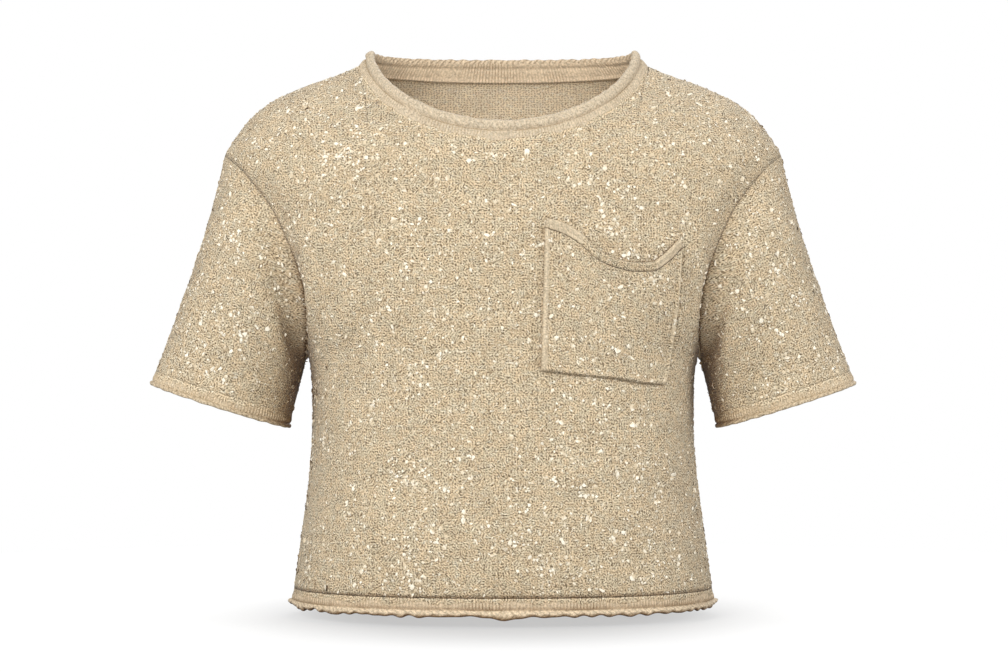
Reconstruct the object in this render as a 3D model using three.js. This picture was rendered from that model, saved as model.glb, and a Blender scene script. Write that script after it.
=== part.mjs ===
// A boxy, short-sleeved knitted crop top, filled out as it is when worn.
// Millimetres, +Z up. The front faces -Y and +X is the wearer's left. The origin lies midway
// between the two high shoulder points, where the wearer's shoulders carry the cloth.
import * as THREE from 'three';

// Cloth
const WALL = 2.2;
const SEAM_GAP = 0.3;
const HALF_GAP = SEAM_GAP / 2;

// Body: level sections from above the shoulders to the hem seam. Each is an oval with the given
// half width and the given depths in front of and behind the shoulder line.
const SECTION_POWER = 2.2;
const HEM_SEAM_Z = -446;
const BODY = [
  { z: 8, half: 30, front: 4, back: 30 },
  { z: 0, half: 88, front: 9, back: 40 },
  { z: -12, half: 121, front: 18, back: 54 },
  { z: -19, half: 137, front: 27, back: 63 },
  { z: -30, half: 168, front: 41, back: 72 },
  { z: -45, half: 197.5, front: 60, back: 81 },
  { z: -60, half: 214, front: 77, back: 87.5 },
  { z: -80, half: 228, front: 94, back: 94 },
  { z: -87, half: 232, front: 98, back: 96 },
  { z: -98, half: 231.5, front: 102.5, back: 98.5 },
  { z: -111, half: 227.5, front: 106, back: 101 },
  { z: -136, half: 218.5, front: 110.5, back: 105 },
  { z: -174, half: 206, front: 114.5, back: 109 },
  { z: -207, half: 190, front: 117, back: 111.5 },
  { z: -225, half: 178.5, front: 118, back: 112.5 },
  { z: -238, half: 169.5, front: 118.7, back: 113 },
  { z: -250, half: 163, front: 119.2, back: 113.5 },
  { z: -262, half: 160.3, front: 119.6, back: 114 },
  { z: -280, half: 159, front: 120, back: 114.6 },
  { z: -311, half: 158.6, front: 121, back: 115.7 },
  { z: -349, half: 161, front: 122, back: 117 },
  { z: -399, half: 167.4, front: 123, back: 119 },
  { z: HEM_SEAM_Z, half: 174, front: 124.5, back: 121 },
];

// Neckline seam: an oval in plan that drops far in front and little behind
const NECK = { half: 121, sideZ: -12, frontDrop: 68, frontPower: 1.2, backDrop: 7, backPower: 1 };

// Armhole seam from the shoulder point to the underarm, with the way the sleeve leaves it
const ARMHOLE = [
  { x: 232, z: -87, outX: 0.2, outY: 0, outZ: -0.98 },
  { x: 218, z: -98, outX: 0.4, outY: 0.1, outZ: -0.9 },
  { x: 207, z: -111, outX: 0.58, outY: 0.12, outZ: -0.8 },
  { x: 191, z: -136, outX: 0.72, outY: 0.15, outZ: -0.65 },
  { x: 178, z: -174, outX: 0.76, outY: 0.2, outZ: -0.6 },
  { x: 171, z: -207, outX: 0.7, outY: 0.35, outZ: -0.62 },
  { x: 165, z: -238, outX: 0.48, outY: 0.4, outZ: -0.78 },
  { x: 163, z: -250, outX: 0.22, outY: 0, outZ: -0.97 },
];

// Cuff seam: an oval ring square to the sleeve, which hangs a little out from the body
const CUFF = { x: 232.7, z: -283.6, lean: 17.5, half: 59.5, depth: 50, flare: 0.07 };

// Bands: the ribbed height, the height of the rolled edge, its bulge, and how far a rib stands up
const RIB = 0.7;
const INNER_FOOT = 0.9;
const NECK_BAND = { ribs: 9.6, roll: 8.6, bulge: 2.6 };
const HEM_BAND = { ribs: 10, roll: 5, bulge: 2, stations: 168 };
const CUFF_BAND = { ribs: 8, roll: 4.5, bulge: 1.8, stations: 56 };
const NECK_LEAN = { side: 0.72, sideRise: 0.69, front: 0.3, back: 0.2, rise: 0.954 };

// Hem edge: a small irregular wave, a tongue at the front's centre, and flared corners
const HEM_WAVES = [
  { count: 71, drop: 1.1, turn: 0.4 },
  { count: 43, drop: 0.8, turn: 2.1 },
  { count: 9, drop: 1.0, turn: 1.3 },
];
const TONGUE = { x: 0, width: 7, drop: 4 };
const CORNER = { width: 16, rise: 3, flare: 3.5 };

// Pocket: its side edges, bottom edge and drooping mouth on the front, seen from the front
const POCKET_LEFT = [{ z: -266, x: 30.3 }, { z: -151, x: 33.5 }];
const POCKET_RIGHT = [{ z: -277, x: 130.7 }, { z: -233, x: 138 }, { z: -205, x: 141.6 }, { z: -166, x: 144 }];
const POCKET_BOTTOM = [
  { x: 30.3, z: -265 }, { x: 60, z: -268.5 }, { x: 89, z: -271.6 }, { x: 115, z: -275.5 }, { x: 130.7, z: -276.7 },
];
const POCKET_MOUTH = [
  { x: 33.5, z: -151 }, { x: 45, z: -154.5 }, { x: 60, z: -163 }, { x: 75, z: -176 }, { x: 90, z: -182.5 },
  { x: 105, z: -185.5 }, { x: 120, z: -185 }, { x: 132, z: -178 }, { x: 144, z: -166 },
];
const POCKET = { wall: 2, stand: 3, ridge: 1.2, bandHeight: 8.5, bandWall: 3.4, bandStep: 0.045 };
const POCKET_COLUMNS = [0, 0.03, 0.06, 0.18, 0.32, 0.46, 0.6, 0.74, 0.86, 0.94, 0.97, 1];
const POCKET_ROWS = [0, 0.03, 0.06, 0.2, 0.36, 0.52, 0.68, 0.84, 1];

// Mesh density
const NECK_COLUMNS = 8;
const SHOULDER_COLUMNS = 6;
const COLUMNS = NECK_COLUMNS + SHOULDER_COLUMNS;
const LOWER_ROWS = 7;
const ROWS_CLOSE_UP = 1.6;
const ARMHOLE_STEPS = 12;
const SLEEVE_ROWS = 8;
const NECK_STATIONS_PER_COLUMN = 3;

// Front and back, as signs of y
const FRONT = -1;
const BACK = 1;

// A smooth curve through one named column of a table, with no overshoot between rows
function column(rows, key, value) {
  const sorted = [...rows].sort((a, b) => a[key] - b[key]);
  const last = sorted.length - 1;
  const slopes = [];
  for (let i = 0; i < last; i += 1) {
    slopes.push((sorted[i + 1][value] - sorted[i][value]) / (sorted[i + 1][key] - sorted[i][key]));
  }
  const tangents = sorted.map((row, i) => {
    if (i === 0) return slopes[0];
    if (i === last) return slopes[last - 1];
    const before = slopes[i - 1];
    const after = slopes[i];
    return before * after <= 0 ? 0 : (2 * before * after) / (before + after);
  });
  return (at) => {
    const k = THREE.MathUtils.clamp(at, sorted[0][key], sorted[last][key]);
    let i = 0;
    while (i < last - 1 && k > sorted[i + 1][key]) i += 1;
    const span = sorted[i + 1][key] - sorted[i][key];
    const t = (k - sorted[i][key]) / span;
    const rise = sorted[i + 1][value] - sorted[i][value];
    const bend = tangents[i] + tangents[i + 1] - (2 * rise) / span;
    const sag = (3 * rise) / span - 2 * tangents[i] - tangents[i + 1];
    return sorted[i][value] + span * t * (tangents[i] + t * (sag + t * bend));
  };
}

const halfAt = column(BODY, 'z', 'half');
const depthAt = { [FRONT]: column(BODY, 'z', 'front'), [BACK]: column(BODY, 'z', 'back') };

// The point of the body's outer face at a place seen from the front
function bodyPoint(x, z, side) {
  const across = Math.min(1, Math.abs(x) / halfAt(z));
  const depth = depthAt[side](z) * (1 - across ** SECTION_POWER) ** (1 / SECTION_POWER);
  return new THREE.Vector3(x, side * depth, z);
}

// The way out of the cloth at a point of the body's outer face
function bodyNormal(point, side) {
  const step = 0.5;
  const half = halfAt(point.z);
  const depth = depthAt[side](point.z);
  const halfSlope = (halfAt(point.z + step) - halfAt(point.z - step)) / (2 * step);
  const depthSlope = (depthAt[side](point.z + step) - depthAt[side](point.z - step)) / (2 * step);
  const across = Math.abs(point.x) / half;
  const along = Math.abs(point.y) / depth;
  return new THREE.Vector3(
    (Math.sign(point.x) * across ** (SECTION_POWER - 1)) / half,
    (side * along ** (SECTION_POWER - 1)) / depth,
    -(across ** SECTION_POWER * halfSlope) / half - (along ** SECTION_POWER * depthSlope) / depth,
  ).normalize();
}

// The height of the shoulder line at a distance from the middle
function shoulderZ(x) {
  let low = ARMHOLE[0].z;
  let high = BODY[0].z;
  for (let i = 0; i < 40; i += 1) {
    const middle = (low + high) / 2;
    if (halfAt(middle) > x) low = middle;
    else high = middle;
  }
  return (low + high) / 2;
}

// A point of the neckline seam. turn is 0 at the shoulder line and 1 at the middle of the panel.
function necklinePlace(turn, side) {
  const angle = (turn * Math.PI) / 2;
  const drop = side === FRONT ? NECK.frontDrop : NECK.backDrop;
  const power = side === FRONT ? NECK.frontPower : NECK.backPower;
  return { x: NECK.half * Math.cos(angle), z: NECK.sideZ - drop * Math.sin(angle) ** power };
}

// Even steps along the armhole seam, from the underarm up to the shoulder point
function armholeSteps() {
  const steps = ARMHOLE.length - 1;
  const rows = ARMHOLE.map((row, i) => ({ ...row, i }));
  const at = (name) => column(rows, 'i', name);
  const curves = { x: at('x'), z: at('z'), outX: at('outX'), outY: at('outY'), outZ: at('outZ') };
  const fine = 400;
  const places = [];
  let length = 0;
  let before = null;
  for (let i = 0; i <= fine; i += 1) {
    const row = (steps * (fine - i)) / fine;
    const point = bodyPoint(curves.x(row), curves.z(row), FRONT);
    if (before) length += point.distanceTo(before);
    before = point;
    places.push({ row, length });
  }
  const result = [];
  for (let j = 0; j <= ARMHOLE_STEPS; j += 1) {
    const wanted = (length * j) / ARMHOLE_STEPS;
    const place = places.find((p) => p.length >= wanted - 1e-9) ?? places[fine];
    const row = j === ARMHOLE_STEPS ? 0 : place.row;
    result.push(Object.fromEntries(Object.entries(curves).map(([name, curve]) => [name, curve(row)])));
  }
  return result;
}
const ARMHOLE_SEAM = armholeSteps();

// One closed body from its points and triangles, its faces turned out
function closedMesh(name, material, points, triangles) {
  let volume = 0;
  for (const [a, b, c] of triangles) {
    volume += points[a].dot(new THREE.Vector3().crossVectors(points[b], points[c]));
  }
  const turned = volume < 0 ? triangles.map(([a, b, c]) => [a, c, b]) : triangles;
  const geometry = new THREE.BufferGeometry().setFromPoints(points);
  geometry.setIndex(turned.flat());
  geometry.computeVertexNormals();
  const mesh = new THREE.Mesh(geometry, material);
  mesh.name = name;
  return mesh;
}

// A wall of cloth between a grid of outer points and the grid moved in along their normals.
// A grid that runs all round has its last column next to its first. On any other, the two halves'
// squares are split as mirror images of each other.
function clothWall(name, material, outer, normals, wall, allRound = false) {
  const rows = outer.length;
  const columns = outer[0].length;
  const inner = outer.map((row, r) => row.map((p, c) => p.clone().addScaledVector(normals[r][c], -wall)));
  const points = [...outer.flat(), ...inner.flat()];
  const out = (r, c) => r * columns + (c % columns);
  const into = (r, c) => rows * columns + out(r, c);
  const triangles = [];
  const quad = (a, b, c, d) => triangles.push([a, b, c], [a, c, d]);
  const spans = allRound ? columns : columns - 1;
  for (let c = 0; c < spans; c += 1) {
    const second = !allRound && c >= spans / 2;
    for (let r = 0; r < rows - 1; r += 1) {
      const square = [[r, c], [r, c + 1], [r + 1, c + 1], [r + 1, c]];
      if (second) square.push(square.shift());
      quad(...square.map(([i, j]) => out(i, j)));
      const back = [square[0], square[3], square[2], square[1]];
      quad(...back.map(([i, j]) => into(i, j)));
    }
    quad(out(0, c + 1), out(0, c), into(0, c), into(0, c + 1));
    quad(out(rows - 1, c), out(rows - 1, c + 1), into(rows - 1, c + 1), into(rows - 1, c));
  }
  if (!allRound) {
    for (let r = 0; r < rows - 1; r += 1) {
      quad(out(r, 0), out(r + 1, 0), into(r + 1, 0), into(r, 0));
      quad(out(r + 1, spans), out(r, spans), into(r, spans), into(r + 1, spans));
    }
  }
  return closedMesh(name, material, points, triangles);
}

// Moves the edge points of a grid in by half the seam gap, square to the edge's own run
function openSeams(grid, { sides }) {
  const lastRow = grid.length - 1;
  const lastColumn = grid[0].length - 1;
  const at = (r, c) => grid[THREE.MathUtils.clamp(r, 0, lastRow)][THREE.MathUtils.clamp(c, 0, lastColumn)];
  const pull = (point, next, before, after) => {
    const run = after.clone().sub(before).normalize();
    const way = next.clone().sub(point);
    return way.addScaledVector(run, -way.dot(run)).setLength(HALF_GAP);
  };
  const moves = [];
  grid.forEach((row, r) => row.forEach((point, c) => {
    const move = new THREE.Vector3();
    if (r === 0) move.add(pull(point, at(1, c), at(0, c - 1), at(0, c + 1)));
    if (r === lastRow) move.add(pull(point, at(r - 1, c), at(r, c - 1), at(r, c + 1)));
    if (sides && c === 0) move.add(pull(point, at(r, 1), at(r - 1, 0), at(r + 1, 0)));
    if (sides && c === lastColumn) move.add(pull(point, at(r, c - 1), at(r - 1, c), at(r + 1, c)));
    moves.push([point, move]);
  }));
  moves.forEach(([point, move]) => point.add(move));
}

// A place on a body panel. column counts out from the middle, row up from the hem seam.
function panelPlace(columnIndex, row, side) {
  const u = columnIndex / COLUMNS;
  const sweep = Math.sin((u * Math.PI) / 2) ** (2 / SECTION_POWER);
  const underarm = ARMHOLE_SEAM[0];
  if (row <= LOWER_ROWS) {
    const climb = 1 - (1 - row / LOWER_ROWS) ** ROWS_CLOSE_UP;
    const z = THREE.MathUtils.lerp(HEM_SEAM_Z, underarm.z, climb);
    return { x: halfAt(z) * sweep, z };
  }
  const step = row - LOWER_ROWS;
  const shoulder = ARMHOLE_SEAM[ARMHOLE_STEPS];
  let top;
  if (columnIndex <= NECK_COLUMNS) {
    top = necklinePlace(1 - columnIndex / NECK_COLUMNS, side);
  } else {
    const x = THREE.MathUtils.lerp(NECK.half, shoulder.x, (columnIndex - NECK_COLUMNS) / SHOULDER_COLUMNS);
    top = { x, z: shoulderZ(x) };
  }
  const rise = 1 - (1 - step / ARMHOLE_STEPS) ** ROWS_CLOSE_UP;
  const seam = ARMHOLE_SEAM[step];
  const shift = {
    x: seam.x - THREE.MathUtils.lerp(underarm.x, shoulder.x, rise),
    z: seam.z - THREE.MathUtils.lerp(underarm.z, shoulder.z, rise),
  };
  return {
    x: THREE.MathUtils.lerp(halfAt(underarm.z) * sweep, top.x, rise) + u * shift.x,
    z: THREE.MathUtils.lerp(underarm.z, top.z, rise) + u * shift.z,
  };
}

// The seam points of a panel, before its seams are opened
function panelGrid(side) {
  const grid = [];
  for (let row = 0; row <= LOWER_ROWS + ARMHOLE_STEPS; row += 1) {
    const points = [];
    for (let c = -COLUMNS; c <= COLUMNS; c += 1) {
      const place = panelPlace(Math.abs(c), row, side);
      points.push(bodyPoint(Math.sign(c) * place.x, place.z, side));
    }
    grid.push(points);
  }
  return grid;
}

function bodyPanel(name, material, side) {
  const grid = panelGrid(side);
  const normals = grid.map((row) => row.map((point) => bodyNormal(point, side)));
  normals[0].forEach((normal) => normal.setZ(0).normalize());
  openSeams(grid, { sides: true });
  return clothWall(name, material, grid, normals, WALL);
}

// The cuff seam's ring: its long axis, its short axis and the way down the sleeve
const lean = THREE.MathUtils.degToRad(CUFF.lean);
const CUFF_ACROSS = new THREE.Vector3(Math.cos(lean), 0, Math.sin(lean));
const CUFF_DEPTH = new THREE.Vector3(0, -1, 0);
const CUFF_DOWN = new THREE.Vector3(Math.sin(lean), 0, -Math.cos(lean));
const CUFF_CENTRE = new THREE.Vector3(CUFF.x, 0, CUFF.z);

// A point of the cuff seam. turn is 0 at the outer end, half at the underarm, and grows forwards.
function cuffPoint(turn) {
  const angle = turn * 2 * Math.PI;
  return CUFF_CENTRE.clone()
    .addScaledVector(CUFF_ACROSS, CUFF.half * Math.cos(angle))
    .addScaledVector(CUFF_DEPTH, CUFF.depth * Math.sin(angle));
}

function cuffNormal(turn) {
  const angle = turn * 2 * Math.PI;
  return new THREE.Vector3()
    .addScaledVector(CUFF_ACROSS, Math.cos(angle) / CUFF.half)
    .addScaledVector(CUFF_DEPTH, Math.sin(angle) / CUFF.depth)
    .normalize();
}

// One sleeve, from the armhole seam in smooth sweeps down to the cuff seam
function sleeve(name, material, mirror) {
  const around = 2 * ARMHOLE_STEPS;
  const grid = [];
  for (let r = 0; r <= SLEEVE_ROWS; r += 1) {
    const t = r / SLEEVE_ROWS;
    const ring = [];
    for (let k = 0; k < around; k += 1) {
      const side = k <= ARMHOLE_STEPS ? FRONT : BACK;
      const seam = ARMHOLE_SEAM[Math.abs(ARMHOLE_STEPS - k)];
      const start = bodyPoint(seam.x, seam.z, side);
      const end = cuffPoint(k / around);
      const reach = start.distanceTo(end);
      const leave = new THREE.Vector3(seam.outX, side * seam.outY, seam.outZ).setLength(reach);
      const arrive = CUFF_DOWN.clone().addScaledVector(cuffNormal(k / around), CUFF.flare).setLength(reach);
      ring.push(new THREE.Vector3()
        .addScaledVector(start, (2 * t - 3) * t * t + 1)
        .addScaledVector(leave, ((t - 2) * t + 1) * t)
        .addScaledVector(end, (3 - 2 * t) * t * t)
        .addScaledVector(arrive, (t - 1) * t * t));
    }
    grid.push(ring);
  }
  const normals = grid.map((ring, r) => ring.map((point, k) => {
    if (r === SLEEVE_ROWS) return cuffNormal(k / around);
    const round = ring[(k + 1) % around].clone().sub(ring[(k + around - 1) % around]);
    const down = grid[r + 1][k].clone().sub(grid[Math.max(r - 1, 0)][k]);
    return round.cross(down).normalize();
  }));
  openSeams(grid, { sides: false });
  [...grid.flat(), ...normals.flat()].forEach((v) => v.setX(mirror * v.x));
  return clothWall(name, material, grid, normals, WALL, true);
}

// A ring or strip swept along stations. Each station has a foot on the seam, the way along the
// band and the way out of it, and a closed outline of [along, out] pairs.
function sweptBand(name, material, stations, closed) {
  const sides = stations[0].outline.length;
  const points = stations.flatMap(({ foot, along, out, outline }) => outline.map(
    ([s, h]) => foot.clone().addScaledVector(along, s).addScaledVector(out, h),
  ));
  const triangles = [];
  const spans = closed ? stations.length : stations.length - 1;
  for (let i = 0; i < spans; i += 1) {
    const here = i * sides;
    const next = ((i + 1) % stations.length) * sides;
    for (let m = 0; m < sides; m += 1) {
      const n = (m + 1) % sides;
      triangles.push([here + m, next + m, next + n], [here + m, next + n, here + n]);
    }
  }
  if (!closed) {
    const end = (stations.length - 1) * sides;
    for (let m = 1; m < sides - 1; m += 1) {
      triangles.push([0, m, m + 1], [end, end + m + 1, end + m]);
    }
  }
  return closedMesh(name, material, points, triangles);
}

// The outline of a ribbed band with a rolled edge. Every second station is a rib.
function bandOutline({ ribs, roll, bulge }, isRib, drop = 0, flare = 0) {
  const up = isRib ? RIB : 0;
  const end = ribs + roll + drop;
  return [
    [HALF_GAP, 0],
    [1.6, up],
    [ribs - 0.8, up + flare / 2],
    [ribs + roll * 0.25, bulge + flare],
    [end - roll * 0.2, bulge * 0.8 + flare],
    [end, -WALL * 0.3 + flare],
    [end - roll * 0.35, -WALL - bulge * 0.35 + flare],
    [ribs - 0.5, -WALL],
    [INNER_FOOT, -WALL],
  ];
}

// The way out of a ring at a station, square to its run and to the way along the band
function wayOut(before, after, along, centre, foot) {
  const out = after.clone().sub(before).cross(along).normalize();
  return out.dot(foot.clone().sub(centre)) < 0 ? out.negate() : out;
}

function neckBand(name, material) {
  const corners = [];
  for (let k = 0; k < 4 * NECK_COLUMNS; k += 1) {
    const quarter = Math.floor(k / NECK_COLUMNS);
    const part = (k % NECK_COLUMNS) / NECK_COLUMNS;
    const turn = quarter % 2 === 0 ? part : 1 - part;
    const side = quarter < 2 ? FRONT : BACK;
    const place = necklinePlace(turn, side);
    const sign = quarter === 0 || quarter === 3 ? 1 : -1;
    corners.push(bodyPoint(sign * place.x, place.z, side));
  }
  const feet = corners.flatMap((corner, k) => {
    const next = corners[(k + 1) % corners.length];
    return Array.from({ length: NECK_STATIONS_PER_COLUMN }, (_, i) => (
      corner.clone().lerp(next, i / NECK_STATIONS_PER_COLUMN)
    ));
  });
  const centre = new THREE.Vector3(0, (corners[NECK_COLUMNS].y + corners[3 * NECK_COLUMNS].y) / 2, -40);
  const stations = feet.map((foot, i) => {
    const sideways = Math.min(1, Math.abs(foot.x) / NECK.half);
    const middle = Math.sqrt(1 - sideways ** 2);
    const inward = foot.y < 0 ? NECK_LEAN.front : -NECK_LEAN.back;
    const along = new THREE.Vector3(
      -Math.sign(foot.x) * NECK_LEAN.side * sideways,
      inward * middle,
      THREE.MathUtils.lerp(NECK_LEAN.sideRise, NECK_LEAN.rise, middle),
    ).normalize();
    const reach = NECK_STATIONS_PER_COLUMN;
    const before = feet[(i + feet.length - reach) % feet.length];
    const after = feet[(i + reach) % feet.length];
    const out = wayOut(before, after, along, centre, foot);
    return { foot, along, out, outline: bandOutline(NECK_BAND, i % 2 === 1) };
  });
  return sweptBand(name, material, stations, true);
}

// Evenly spaced places on a smooth closed ring
function evenRing(pointAt, count) {
  const points = Array.from({ length: 96 }, (_, i) => pointAt(i / 96));
  const curve = new THREE.CatmullRomCurve3(points, true);
  curve.arcLengthDivisions = 2000;
  return curve.getSpacedPoints(count).slice(0, count);
}

function hemBand(name, material) {
  const ring = evenRing((turn) => {
    const angle = turn * 2 * Math.PI;
    const power = 2 / SECTION_POWER;
    const sine = Math.sin(angle);
    const cosine = Math.cos(angle);
    const side = cosine >= 0 ? FRONT : BACK;
    return new THREE.Vector3(
      halfAt(HEM_SEAM_Z) * Math.sign(sine) * Math.abs(sine) ** power,
      side * depthAt[side](HEM_SEAM_Z) * Math.abs(cosine) ** power,
      HEM_SEAM_Z,
    );
  }, HEM_BAND.stations);
  const centre = new THREE.Vector3(0, 0, HEM_SEAM_Z);
  const along = new THREE.Vector3(0, 0, -1);
  const stations = ring.map((foot, i) => {
    const before = ring[(i + ring.length - 1) % ring.length];
    const after = ring[(i + 1) % ring.length];
    const out = wayOut(before, after, along, centre, foot);
    const turn = (i / ring.length) * 2 * Math.PI;
    const wave = HEM_WAVES.reduce((sum, w) => sum + w.drop * Math.sin(w.count * turn + w.turn), 0);
    const tongue = foot.y < 0 ? TONGUE.drop * Math.exp(-(((foot.x - TONGUE.x) / TONGUE.width) ** 2)) : 0;
    const corner = Math.exp(-((foot.y / CORNER.width) ** 2));
    const drop = wave + tongue - CORNER.rise * corner;
    return { foot, along, out, outline: bandOutline(HEM_BAND, i % 2 === 1, drop, CORNER.flare * corner) };
  });
  return sweptBand(name, material, stations, true);
}

function cuffBand(name, material, mirror) {
  const ring = evenRing(cuffPoint, CUFF_BAND.stations);
  const stations = ring.map((foot, i) => {
    const before = ring[(i + ring.length - 1) % ring.length];
    const after = ring[(i + 1) % ring.length];
    const out = wayOut(before, after, CUFF_DOWN, CUFF_CENTRE, foot);
    const outline = bandOutline(CUFF_BAND, i % 2 === 1, 0, CUFF.flare * (CUFF_BAND.ribs + CUFF_BAND.roll));
    return { foot, along: CUFF_DOWN.clone(), out, outline };
  });
  stations.forEach(({ foot, along, out }) => [foot, along, out].forEach((v) => v.setX(mirror * v.x)));
  return sweptBand(name, material, stations, true);
}

const pocketLeft = column(POCKET_LEFT, 'z', 'x');
const pocketRight = column(POCKET_RIGHT, 'z', 'x');
const pocketBottom = column(POCKET_BOTTOM, 'x', 'z');
const pocketMouth = column(POCKET_MOUTH, 'x', 'z');

// How far the pocket's inner face stands off the front. It lies on it at its three sewn edges.
function pocketStand(p, q) {
  return SEAM_GAP + POCKET.stand * Math.sin(Math.PI * p) * q * q;
}

// A place of the pocket seen from the front. p runs from its left to its right edge, q up.
function pocketPlace(p, q) {
  const firstX = THREE.MathUtils.lerp(POCKET_BOTTOM[0].x, POCKET_BOTTOM[POCKET_BOTTOM.length - 1].x, p);
  const lastX = THREE.MathUtils.lerp(POCKET_MOUTH[0].x, POCKET_MOUTH[POCKET_MOUTH.length - 1].x, p);
  const z = THREE.MathUtils.lerp(pocketBottom(firstX), pocketMouth(lastX), q);
  return { x: THREE.MathUtils.lerp(pocketLeft(z), pocketRight(z), p), z };
}

function pocketBag(name, material) {
  const last = POCKET_COLUMNS.length - 1;
  const grid = [];
  const normals = [];
  POCKET_ROWS.forEach((q, r) => {
    const rowNormals = [];
    grid.push(POCKET_COLUMNS.map((p, c) => {
      const place = pocketPlace(p, q);
      const point = bodyPoint(place.x, place.z, FRONT);
      const normal = bodyNormal(point, FRONT);
      rowNormals.push(normal);
      const onRidge = c === 1 || c === last - 1 || r === 1;
      const off = pocketStand(p, q) + POCKET.wall + (onRidge ? POCKET.ridge : 0);
      return point.addScaledVector(normal, off);
    }));
    normals.push(rowNormals);
  });
  const mesh = clothWall(name, material, grid, normals, POCKET.wall);
  const half = grid.flat().length;
  const inside = mesh.geometry.getAttribute('position');
  POCKET_ROWS.forEach((q, r) => POCKET_COLUMNS.forEach((p, c) => {
    const place = pocketPlace(p, q);
    const point = bodyPoint(place.x, place.z, FRONT);
    point.addScaledVector(normals[r][c], pocketStand(p, q));
    inside.setXYZ(half + r * (last + 1) + c, point.x, point.y, point.z);
  }));
  return mesh;
}

// The pocket's band stands on straight runs between the bag's own mouth points
function pocketBand(name, material) {
  const corners = POCKET_COLUMNS.map((p) => {
    const place = pocketPlace(p, 1);
    const foot = bodyPoint(place.x, place.z, FRONT);
    const up = bodyPoint(place.x, place.z + 1, FRONT).sub(foot).normalize();
    return { p, foot, up, out: bodyNormal(foot, FRONT), off: pocketStand(p, 1) };
  });
  const stations = [];
  const { bandHeight: high, bandWall: thick, wall } = POCKET;
  corners.forEach((corner, k) => {
    const next = corners[k + 1];
    const steps = next ? Math.max(1, Math.round((next.p - corner.p) / POCKET.bandStep)) : 1;
    for (let i = 0; i < steps; i += 1) {
      const t = i / steps;
      const foot = next ? corner.foot.clone().lerp(next.foot, t) : corner.foot.clone();
      const along = next ? corner.up.clone().lerp(next.up, t).normalize() : corner.up;
      const out = next ? corner.out.clone().lerp(next.out, t).normalize() : corner.out;
      const off = next ? THREE.MathUtils.lerp(corner.off, next.off, t) : corner.off;
      const rib = stations.length % 2 === 1 ? RIB : 0;
      const outline = [
        [SEAM_GAP, off],
        [SEAM_GAP, off + wall],
        [high * 0.2, off + wall + rib],
        [high * 0.5, off + wall + rib],
        [high * 0.62, off + thick],
        [high * 0.95, off + thick],
        [high, off + thick * 0.4],
        [high * 0.9, off],
      ];
      stations.push({ foot, along, out, outline });
    }
  });
  return sweptBand(name, material, stations, false);
}

function yarn(colour, roughness) {
  return new THREE.MeshStandardMaterial({ color: colour, roughness, metalness: 0 });
}

const bodyYarn = yarn(0xc9b186, 0.85);
const sleeveYarn = yarn(0xc4ab80, 0.85);
const bandYarn = yarn(0xd2bb90, 0.9);
const pocketYarn = yarn(0xceb78b, 0.85);

const LEFT = 1;
const RIGHT = -1;

const cropTop = new THREE.Group();
cropTop.name = 'crop_top';
cropTop.add(
  bodyPanel('front', bodyYarn, FRONT),
  bodyPanel('back', bodyYarn, BACK),
  sleeve('sleeve_left', sleeveYarn, LEFT),
  sleeve('sleeve_right', sleeveYarn, RIGHT),
  neckBand('neckband', bandYarn),
  cuffBand('cuff_left', bandYarn, LEFT),
  cuffBand('cuff_right', bandYarn, RIGHT),
  hemBand('hem_band', bandYarn),
  pocketBag('pocket', pocketYarn),
  pocketBand('pocket_band', bandYarn),
);

export default cropTop;
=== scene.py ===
import math

import bpy
import numpy as np
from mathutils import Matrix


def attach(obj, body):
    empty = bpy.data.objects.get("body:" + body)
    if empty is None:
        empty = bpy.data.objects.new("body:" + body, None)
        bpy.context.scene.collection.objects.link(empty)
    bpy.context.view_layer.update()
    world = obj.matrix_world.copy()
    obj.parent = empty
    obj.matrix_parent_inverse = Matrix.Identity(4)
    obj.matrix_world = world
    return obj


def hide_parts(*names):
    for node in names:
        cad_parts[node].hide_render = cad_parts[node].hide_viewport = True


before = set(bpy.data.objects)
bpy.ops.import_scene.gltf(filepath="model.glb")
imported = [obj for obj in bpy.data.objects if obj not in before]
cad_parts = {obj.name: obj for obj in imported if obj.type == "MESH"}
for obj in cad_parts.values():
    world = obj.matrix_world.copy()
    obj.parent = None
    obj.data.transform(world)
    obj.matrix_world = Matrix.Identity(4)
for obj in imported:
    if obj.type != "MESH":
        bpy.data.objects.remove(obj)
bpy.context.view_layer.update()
bpy.ops.object.select_all(action="DESELECT")

MM = 0.001
FRONT = -1
BACK = 1

# Cloth and seams
WALL = 2.2 * MM
SEAM_DIP = 0.0 * MM
SEAM_DIP_WIDTH = 1.5 * MM
SEAM_RIDGE = 0.15 * MM
SEAM_RIDGE_WIDTH = 1.3 * MM
STITCH_RELIEF = 0.3 * MM
STITCH = 2.5

# Body sections from above the shoulders to the hem seam, in millimetres
SECTION_POWER = 2.2
HEM_SEAM_Z = -446
BODY_COLUMNS = "z half front back"
BODY_ROWS = [
    (8, 30, 4, 30),
    (0, 88, 9, 40),
    (-12, 121, 18, 54),
    (-19, 137, 27, 63),
    (-30, 168, 41, 72),
    (-45, 197.5, 60, 81),
    (-60, 214, 77, 87.5),
    (-80, 228, 94, 94),
    (-87, 232, 98, 96),
    (-98, 231.5, 102.5, 98.5),
    (-111, 227.5, 106, 101),
    (-136, 218.5, 110.5, 105),
    (-174, 206, 114.5, 109),
    (-207, 190, 117, 111.5),
    (-225, 178.5, 118, 112.5),
    (-238, 169.5, 118.7, 113),
    (-250, 163, 119.2, 113.5),
    (-262, 160.3, 119.6, 114),
    (-280, 159, 120, 114.6),
    (-311, 158.6, 121, 115.7),
    (-349, 161, 122, 117),
    (-399, 167.4, 123, 119),
    (HEM_SEAM_Z, 174, 124.5, 121),
]
NECK_HALF = 121
NECK_SIDE_Z = -12
NECK_DROP = {FRONT: (68, 1.2), BACK: (7, 1.0)}

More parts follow.
